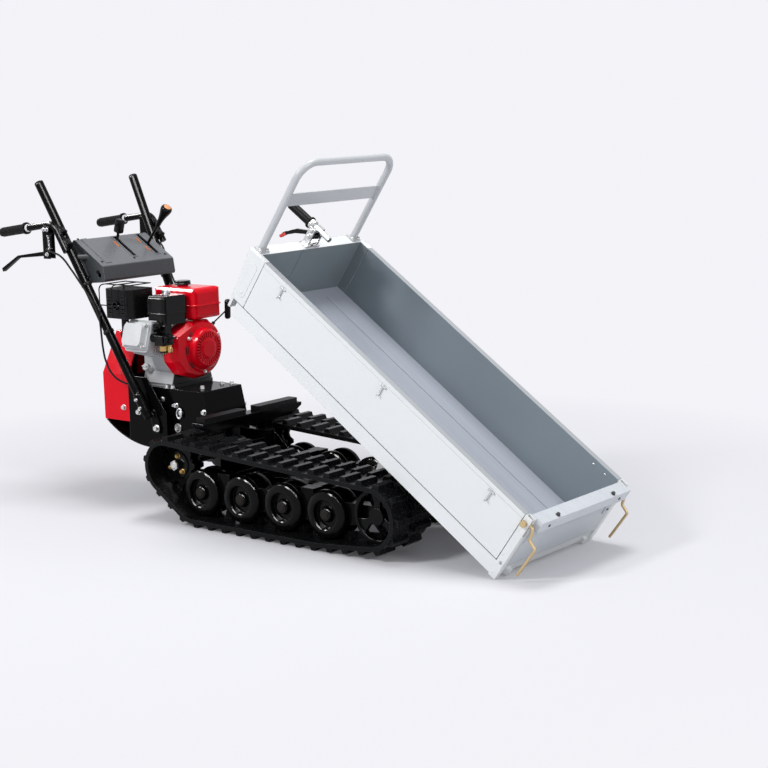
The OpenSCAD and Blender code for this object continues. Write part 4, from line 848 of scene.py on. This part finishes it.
def sight_cap():
    """Round cap below the filler."""
    cap = turned([(0, -SINK), (16, -SINK), (16, 4), (15, 5.5), (12.5, 5.5), (11.5, 4), (8, 3.4), (0, 3)], 32)
    place = at(-436, -COVER_HALF_W, 268)
    piece("sight_cap", [stand(cap, place, outward(SIDES["right"]))], zinc_plate, CARRIER)


# Running gear


def hub_nuts(side_name, side):
    """Cap and nut on the hub of each road wheel."""
    for i in range(1, WHEELS_A_SIDE + 1):
        pin = PINS[f"roller_spin_{side_name}_{i}"]
        spot = at(pin.x, side * HUB_FACE, pin.z)
        cap = turned([(0, -SINK), (18, -SINK), (18, 1), (17, 1.8), (0, 1.8)], 36)
        nut = hex_head(24, 2.4, base=1.4)
        forms = [stand(form, spot, outward(side)) for form in (cap, nut)]
        piece(f"hub_nut_{side_name[0]}{i}", forms, hub_bronze, f"roller_{side_name}_{i}")


def sprocket_nuts(side_name, side):
    """Three nuts with their studs round the sprocket's hub."""
    pin = PINS[f"sprocket_spin_{side_name}"]
    circle_r = 31
    out = outward(side)
    forms = []
    for angle in (80, 200, 320):
        a = math.radians(angle)
        spot = at(pin.x + circle_r * math.cos(a), side * SPROCKET_FACE, pin.z + circle_r * math.sin(a))
        stud = turned([(0, 0), (4, 0), (4, 13), (3, 14), (0, 14)], 14)
        forms += bolt(spot, out, SPROCKET_NUT)
        forms.append(stand(stud, spot, out))
    piece(f"sprocket_nuts_{side_name[0]}", forms, brass, f"sprocket_{side_name}")


def shaft_nut(side_name, side):
    """Nut on the end of the sprocket's shaft."""
    pin = PINS[f"sprocket_spin_{side_name}"]
    spot = at(pin.x, side * SHAFT_FACE, pin.z)
    nut = hex_head(30, 8, base=6.5)
    shaft_end = turned([(0, 0), (10.5, 0), (10.5, 15.5), (9, 17), (0, 17)])
    forms = [stand(form, spot, outward(side)) for form in (nut, shaft_end)]
    piece(f"shaft_nut_{side_name[0]}", forms, zinc_plate, f"sprocket_{side_name}")


# Engine


def engine_bolts():
    """Bolts of the rocker cover, the fan cover and the case's rear face."""
    rocker_x, rocker_y, rocker_face = 44, 38, 213
    fan_circle_r, fan_angles = 82, (150, 30, 270)
    case_spots = ((-40, -28), (40, -28), (-40, 62))
    forms = []
    for x in (-rocker_x, rocker_x):
        for y in (-rocker_y, rocker_y):
            forms += bolt(on_cylinder(CYLINDER_OFFSET + x, y, rocker_face), CYLINDER_AXIS, ROCKER_BOLT)
    for angle in fan_angles:
        a = math.radians(angle)
        spot = CRANK + Vector((FAN_FRONT, fan_circle_r * math.cos(a), fan_circle_r * math.sin(a)))
        forms += bolt(spot * MM, FORWARD, FAN_BOLT)
    for y, z in case_spots:
        forms += bolt((CRANK + Vector((-CASE_BACK, y, z))) * MM, -FORWARD, SMALL_BOLT)
    piece("engine_bolts", forms, zinc_plate, CARRIER)


def fan_cover_slot_shade():
    """Three groups of dark bars on the right of the fan cover's front, outside its grille, which stand for
    cooling slots: painted shade of the openings.
    """
    # The slots are not cut; near-black bars stand for them as painted shade
    sink = 1.5
    forms = []
    for angle in (50, 90, 130):
        turn = Matrix.Rotation(math.radians(angle), 3, "X")
        for radius in (67, 74, 81):
            slot = block(5, 28, 3, 0.6)
            bmesh.ops.translate(slot, verts=slot.verts, vec=at(FAN_FRONT - sink, 0, radius))
            forms.append(lay(slot, CRANK * MM, turn))
    piece("fan_cover_slot_shade", forms, muffler_black, CARRIER)


def float_bowl():
    """Float bowl under the carburettor with its drain screw, and the fuel strainer beside it."""
    bowl_x, bowl_y, bowl_foot, screw_inset = -424, -154, 539.5, 1.5
    strainer_place = at(-392, -158, 541)
    bowl = turned([(0, 0), (9, 0), (14, 1.5), (18.7, 6), (18.7, 22), (20.2, 23), (20.2, 26), (0, 26)], 32)
    strainer = turned([(0, 0), (6, 0), (8.5, 3), (8.5, 16), (6, 19), (6, 26), (0, 26)], 24)
    forms = [stand(bowl, at(bowl_x, bowl_y, bowl_foot), UP),
             stand(hex_head(13, 9), at(bowl_x, bowl_y, bowl_foot + screw_inset), -UP),
             stand(strainer, strainer_place, UP)]
    piece("float_bowl", forms, brass, CARRIER)


def cleaner_wing_nut():
    """Wing nut on top of the air cleaner."""
    x, y, z = -464, -97, 726
    hub = turned([(0, 0), (11, 0), (11, 4), (8, 8), (7, 15), (5, 17), (0, 17)])
    forms = [stand(hub, at(x, y, z), UP)]
    for reach in (-11, 11):
        forms.append(stand(block(18, 7, 12, 2.5), at(x + reach, y, z + 5), UP))
    piece("cleaner_wing_nut", forms, bright_steel, CARRIER)


def oil_filler():
    """Screwed oil plug with a finger bar, low on the case."""
    axis = Vector((0, -0.92, 0.38))
    place = at(-585, -78, 462)
    plug = turned([(0, -6), (15, -6), (15, 4), (12, 6), (12, 10), (13, 11), (13, 20), (11, 22), (0, 22)], 28)
    bar = block(22, 5, 8, 1.5)
    forms = [stand(plug, place, axis), stand(bar, place + 20 * MM * axis, axis)]
    piece("oil_filler", forms, cast_alloy, CARRIER)


def spark_plug_cap():
    """Moulded cap over the spark plug, on the front of the cylinder head."""
    place = on_cylinder(44, 26, 188)
    axis = (0.72, -0.45, 0.53)
    cap = turned([(0, 0), (9, 0), (11, 6), (11, 24), (13, 27), (13, 31), (8, 36), (8, 44), (0, 46)], 24)
    piece("spark_plug_cap", [stand(cap, place, axis)], black_plastic, CARRIER)


def fuel_tap():
    """Fuel tap in front of the carburettor, with its lever and hose stub."""
    tap = block(30, 16, 12, 3)
    lever = block(34, 6, 5, 1.5)
    stub = turned([(0, 0), (5, 0), (5, 20), (3, 22), (0, 22)], 14)
    forms = [stand(tap, at(-401, -158, 582), FORWARD),
             stand(lever, at(-388, -150, 590), FORWARD),
             stand(stub, at(-392, -178, 576), UP)]
    piece("fuel_tap", forms, black_plastic, CARRIER)


# Handle


def grip_rings():
    """White ring on each handlebar, just inside its grip."""
    gap = 2
    inward = (BAR_BEND - BAR_END).normalized()
    spot = BAR_END + (GRIP_LENGTH + gap) * inward
    forms = [stand(band(12.1, 14.2, 10), on_side(side, spot), inward) for side in SIDES.values()]
    piece("grip_rings", forms, ring_white, CARRIER)


def lever_springs():
    """Return spring of each hand lever, which leans back a little between its two pins."""
    x, low, high, lean = -874, 883, 927, -0.08
    coil_y, pin_y = 249, 247
    forms = []
    for side in SIDES.values():
        coil = wire_coil(wire_r=0.9, turn_r=3.6, pitch=4.6, turns=9)
        forms.append(stand(coil, at(x, side * coil_y, low + 1), (lean, 0, 1)))
        for z in (low, high):
            pin = turned([(0, -10), (1.6, -10), (1.6, 4), (2.8, 4), (2.8, 6), (0, 6)], 16)
            forms.append(stand(pin, at(x + lean * (z - low), side * pin_y, z), outward(side)))
    piece("lever_springs", forms, bright_steel, CARRIER)


def lever_bracket_bolts():
    """Pivot bolt and two clamp bolts of each hand lever's bracket."""
    pivot = PINS["grip_squeeze_left"]
    clamp_spots = ((-905, 948), (-888, 948))
    forms = []
    for side in SIDES.values():
        for x, z in ((pivot.x, pivot.z), *clamp_spots):
            forms += bolt(on_side(side, (x, BRACKET_FACE, z)), outward(side), BRACKET_BOLT)
    piece("lever_bracket_bolts", forms, bright_steel, CARRIER)


def tube_end_plugs():
    """Plastic plug in the top of each handle tube."""
    forms = []
    for side in SIDES.values():
        plug = turned([(0, -14), (12.7, -14), (12.7, 0), (16, 0), (16, 2), (14, 5), (9, 7), (0, 8)], 32)
        forms.append(stand(plug, on_side(side, TUBE_HIGH), mirrored(side, TUBE_AXIS)))
    piece("tube_end_plugs", forms, black_plastic, CARRIER)


def tube_bands():
    """Two bands round each handle tube, beside the cable."""
    shares_up_tube = (0.36, 0.56)
    forms = []
    for side in SIDES.values():
        for share in shares_up_tube:
            spot = TUBE_LOW.lerp(TUBE_HIGH, share)
            forms.append(stand(band(15.9, 19, 10), on_side(side, spot), mirrored(side, TUBE_AXIS)))
    piece("tube_bands", forms, cable_skin, CARRIER)


# Console


def slot_marks():
    """Orange marks beside the lever slots."""
    width, height, sink = 7, 1.2, 0.3
    places_and_lengths = ((56, 99, 34), (108, 101, 30), (62, -11, 34))
    turn = Matrix.Rotation(DECK_TILT, 3, "Y")
    forms = [lay(block(length, width, height, 0.4), on_deck(t, y, -sink), turn)
             for t, y, length in places_and_lengths]
    piece("slot_marks", forms, mark_orange, CARRIER)


def speed_knob():
    """Tapered knob on the speed lever's bent rod, with its coloured cap."""
    rod_bend, rod_end = Vector((17, 0, 36)), Vector((77, 0, 108))
    overlap = 6
    axis = (rod_end - rod_bend).normalized()
    foot = (PINS["speed_shift"] + rod_end - overlap * axis) * MM
    knob = turned([(0, -2), (8, -2), (9.4, 0), (10, 22), (13.5, 42), (19, 62), (20.6, 70), (20.4, 76),
                   (18.5, 81), (14.5, 84), (13.6, 83), (0, 83)], 32)
    cap = turned([(0, 82), (13.5, 82), (13.5, 84), (11.5, 85.4), (6, 86.4), (0, 86.6)], 28)
    piece("speed_knob", [stand(knob, foot, axis)], black_plastic, "speed")
    piece("speed_knob_cap", [stand(cap, foot, axis)], knob_tan, "speed")


def throttle_paddle():
    """Wide paddle on the throttle lever."""
    foot = (PINS["throttle_set"] + Vector((-16, 0, 81))) * MM
    lean = (9, 0, 30)
    piece("throttle_paddle", [stand(block(25, 31, 50, 6), foot, lean)], black_plastic, "throttle")


def console_ribs():
    """Upright moulded rib on each side of the console."""
    foot = (-776, CONSOLE_HALF_W, 776)
    lean = (-0.42, 0, 0.9)
    forms = []
    for side in SIDES.values():
        rib = turned([(0, 0), (8, 1), (12, 5), (12, 62), (8, 66), (0, 67)], 28)
        forms.append(stand(rib, on_side(side, foot), lean))
    piece("console_ribs", forms, console_plastic, CARRIER)


def console_screws():
    """Side bolts and deck screws of the console."""
    deck_spots = ((152, -150), (152, 150), (12, -150), (12, 150), (152, 0))
    forms = bolt_pair((-720, CONSOLE_HALF_W, 800), CONSOLE_BOLT)
    for t, y in deck_spots:
        forms.append(stand(dome(5, 2.4), on_deck(t, y, 0), DECK_OUT))
    piece("console_screws", forms, black_plastic, CARRIER)


# Bed


def bed_corner_plates():
    """Small plates that close each rear lower corner and back the seam between post and side panel."""
    plate_t = 3
    corner = (48, 18, -658, 241.6, 172.5)
    seam = (14, 172, -639.5, 244, 189)
    forms = []
    for side in SIDES.values():
        for length, height, s, y, n in (corner, seam):
            forms.append(lay(block(length, plate_t, height, 0.6), on_bed(s, side * y, n), BED_TURN))
    piece("bed_corner_plates", forms, corner_grey, BED)


def bed_bolts():
    """Bolts of the guard rail's feet and the release bracket, bolt ends in the walls, and the grab clamp."""
    foot_s, foot_top, foot_places = -692, 369, (209, 237)
    bracket_s, bracket_half_w = -697, 25
    wall_n, wall_places = 346, (431, 480)
    forms = []
    for side in SIDES.values():
        for y in foot_places:
            forms += bolt(on_bed(foot_s, side * y, foot_top), BED_UPWARD, SMALL_BOLT)
        forms.append(stand(dome(8, 6), on_bed(-690, side * 13, foot_top), BED_UPWARD))
        for n, size in ((398, RELEASE_BOLT), (421, SMALL_BOLT)):
            forms += bolt(on_bed(bracket_s, side * bracket_half_w, n), outward(side), size)
        for s in wall_places:
            forms.append(stand(dome(4.6, 2.6), on_bed(s, side * BED_INNER, wall_n), -outward(side)))
    forms.append(stand(band(9.1, 17, 16, lip=1), on_bed(-726, 0, 427), BED_ALONG))
    forms += bolt(on_bed(-718, -15, 433), outward(SIDES["right"]), PINCH_BOLT)
    piece("bed_bolts", forms, zinc_plate, BED)


def bed_rivets():
    """Painted rivets in the front posts and the rear pillars."""
    post_s, post_heights = 533, (309, 215, 146)
    pillar_s, pillar_n, pillar_proud = -671, 224, 1
    forms = []
    for side in SIDES.values():
        for n in post_heights:
            forms.append(stand(dome(4.2, 2), on_bed(post_s, side * BED_HALF_W, n), outward(side)))
        spot = on_bed(pillar_s, side * (BED_HALF_W + pillar_proud), pillar_n)
        forms.append(stand(dome(6, 3), spot, outward(side)))
    piece("bed_rivets", forms, base_white, BED)


def hook_rivets():
    """Two rivets in the plate of each rope hook."""
    plate_t, below_top = 5, 21.5
    forms = []
    for side in SIDES.values():
        for s in HOOK_PLACES:
            for step in (-8.5, 8.5):
                spot = on_bed(s + step, side * (BED_HALF_W + plate_t), BED_TOP - below_top)
                forms.append(stand(dome(2.6, 1.6), spot, outward(side)))
    piece("hook_rivets", forms, bright_steel, BED)


def release_lever_tip():
    """Red tip over the end of the release lever."""
    lever_slope = math.radians(-56)
    place = on_bed(-803.5, 0, 324)
    below_middle = 5.2
    tip = block(30, 12.5, 10.5, 3)
    bmesh.ops.translate(tip, verts=tip.verts, vec=at(0, 0, -below_middle))
    lever_turn = BED_TURN @ Matrix.Rotation(lever_slope, 3, "Y")
    piece("release_lever_tip", [lay(tip, place, lever_turn)], lever_red, "release")


# Tailgate


def gate_bolts():
    """Bolts in the tailgate's top edge, and rivets in its face and its straps."""
    edge_s, edge_y, edge_n = 566, 150, 368
    rivet_spots = ((577, 190, 348), (557.4, GATE_STRAP_Y, 280))
    forms = []
    for side in SIDES.values():
        forms += bolt(on_bed(edge_s, side * edge_y, edge_n), BED_UPWARD, SMALL_BOLT)
        for s, y, n in rivet_spots:
            forms.append(stand(dome(5, 3), on_bed(s, side * y, n), BED_ALONG))
    piece("gate_bolts", forms, gear_iron, "gate")


def gate_straps():
    """The two straps on the tailgate's outer face."""
    forms = [lay(block(5, 26, 60, 2), on_bed(555, side * GATE_STRAP_Y, 262), BED_TURN)
             for side in SIDES.values()]
    piece("gate_straps", forms, gate_grey, "gate")


cover_bolts()
sleeve_bolts()
filler_plug()
sight_cap()
for side_name, side in SIDES.items():
    hub_nuts(side_name, side)
    sprocket_nuts(side_name, side)
    shaft_nut(side_name, side)
engine_bolts()
fan_cover_slot_shade()
float_bowl()
cleaner_wing_nut()
oil_filler()
spark_plug_cap()
fuel_tap()
grip_rings()
lever_springs()
lever_bracket_bolts()
tube_end_plugs()
tube_bands()
slot_marks()
speed_knob()
throttle_paddle()
console_ribs()
console_screws()
bed_corner_plates()
bed_bolts()
bed_rivets()
hook_rivets()
release_lever_tip()
gate_bolts()
gate_straps()


# Studio


def seen_directly(tree):
    """1 for rays from the camera, from gloss and through glass, 0 for light that falls on the machine."""
    path = tree.nodes.new("ShaderNodeLightPath")
    total = path.outputs["Is Camera Ray"]
    for name in ("Is Glossy Ray", "Is Transmission Ray"):
        total = combine(tree, "MAXIMUM", total, path.outputs[name])
    return total


def blend_shaders(tree, factor, first, second, output):
    """Sends a blend of two shaders to the tree's output node."""
    mix = tree.nodes.new("ShaderNodeMixShader")
    tree.links.new(factor, mix.inputs["Fac"])
    tree.links.new(first, mix.inputs[1])
    tree.links.new(second, mix.inputs[2])
    tree.links.new(mix.outputs["Shader"], tree.nodes[output].inputs["Surface"])


def studio_floor():
    """Large pale floor that keeps the machine's shadow and fades into the backdrop away from it."""
    mesh = bpy.data.meshes.new("studio_floor")
    form = bmesh.new()
    bmesh.ops.create_grid(form, x_segments=1, y_segments=1, size=FLOOR_HALF)
    form.to_mesh(mesh)
    form.free()
    material, tree, shader = new_material("studio_floor", FLOOR_COLOUR, roughness=0.9, specular=0)
    glow = tree.nodes.new("ShaderNodeEmission")
    glow.inputs["Color"].default_value = (*BACKDROP, 1)
    reach = vector_math(tree, "LENGTH", object_coords(tree), (0, 0, 0)).outputs["Value"]
    fade = map_range(tree, reach, FADE_START, FADE_END, FADE_NEAR)
    shown = combine(tree, "MULTIPLY", fade, seen_directly(tree))
    blend_shaders(tree, shown, shader.outputs["BSDF"], glow.outputs["Emission"], "Material Output")
    mesh.materials.append(material)
    floor = bpy.data.objects.new("studio_floor", mesh)
    bpy.context.collection.objects.link(floor)


def studio_world():
    """Soft daylight all round, which the camera and gloss see as the plain backdrop."""
    world = bpy.data.worlds.new("studio_world")
    world.use_nodes = True
    tree = world.node_tree
    light = tree.nodes["Background"]
    light.inputs["Color"].default_value = (*DAYLIGHT, 1)
    light.inputs["Strength"].default_value = WORLD_STRENGTH
    shown = tree.nodes.new("ShaderNodeBackground")
    shown.inputs["Color"].default_value = (*BACKDROP, 1)
    blend_shaders(tree, seen_directly(tree), light.outputs["Background"], shown.outputs["Background"],
                  "World Output")
    bpy.context.scene.world = world


def hang_lamp(data, place, aim):
    """Hangs a lamp at a place in metres, aimed at a point."""
    lamp = bpy.data.objects.new(data.name, data)
    turn = (Vector(aim) - Vector(place)).to_track_quat("-Z", "Y").to_matrix().to_4x4()
    lamp.matrix_world = Matrix.Translation(place) @ turn
    bpy.context.collection.objects.link(lamp)
    return lamp


def soft_lamp(name, place, aim, size, power):
    """Round lamp that lights everything."""
    data = bpy.data.lights.new(name, "AREA")
    data.shape = "DISK"
    data.size = size
    data.energy = power
    hang_lamp(data, place, aim)


def gloss_strip(name, place, aim, length, width, painted):
    """Long lamp that shows only in the gloss of some nodes, for highlights along tubes, rims and edges."""
    data = bpy.data.lights.new(name, "AREA")
    data.shape = "RECTANGLE"
    data.size = length
    data.size_y = width
    data.energy = STRIP_RADIANCE * math.pi * length * width
    lamp = hang_lamp(data, place, aim)
    lamp.visible_diffuse = False
    lamp.light_linking.receiver_collection = painted


studio_floor()
studio_world()
soft_lamp("key", place=(-1.5, -5.0, 4.5), aim=(0, 0, 0.4), size=1.4, power=200)
soft_lamp("top", place=(0.5, 0.5, 5.0), aim=(0, 0, 0.3), size=2.0, power=120)
soft_lamp("fill", place=(5.0, -1.0, 2.5), aim=(0.2, 0, 0.4), size=1.4, power=45)
gloss_painted = bpy.data.collections.new("gloss_painted")
for finish in (frame_black, tube_black, wheel_black, tank_red, black_plastic):
    for name in NODE_FINISH[finish]:
        gloss_painted.objects.link(nodes[name])
gloss_strip("front_strip", (1.0, -3.3, 4.6), (0.2, 0, 0.4), length=7, width=1.6, painted=gloss_painted)
gloss_strip("left_strip", (-4.0, -1.0, 3.8), (0, 0, 0.4), length=4, width=1.4, painted=gloss_painted)
bpy.context.scene.view_settings.view_transform = "Standard"
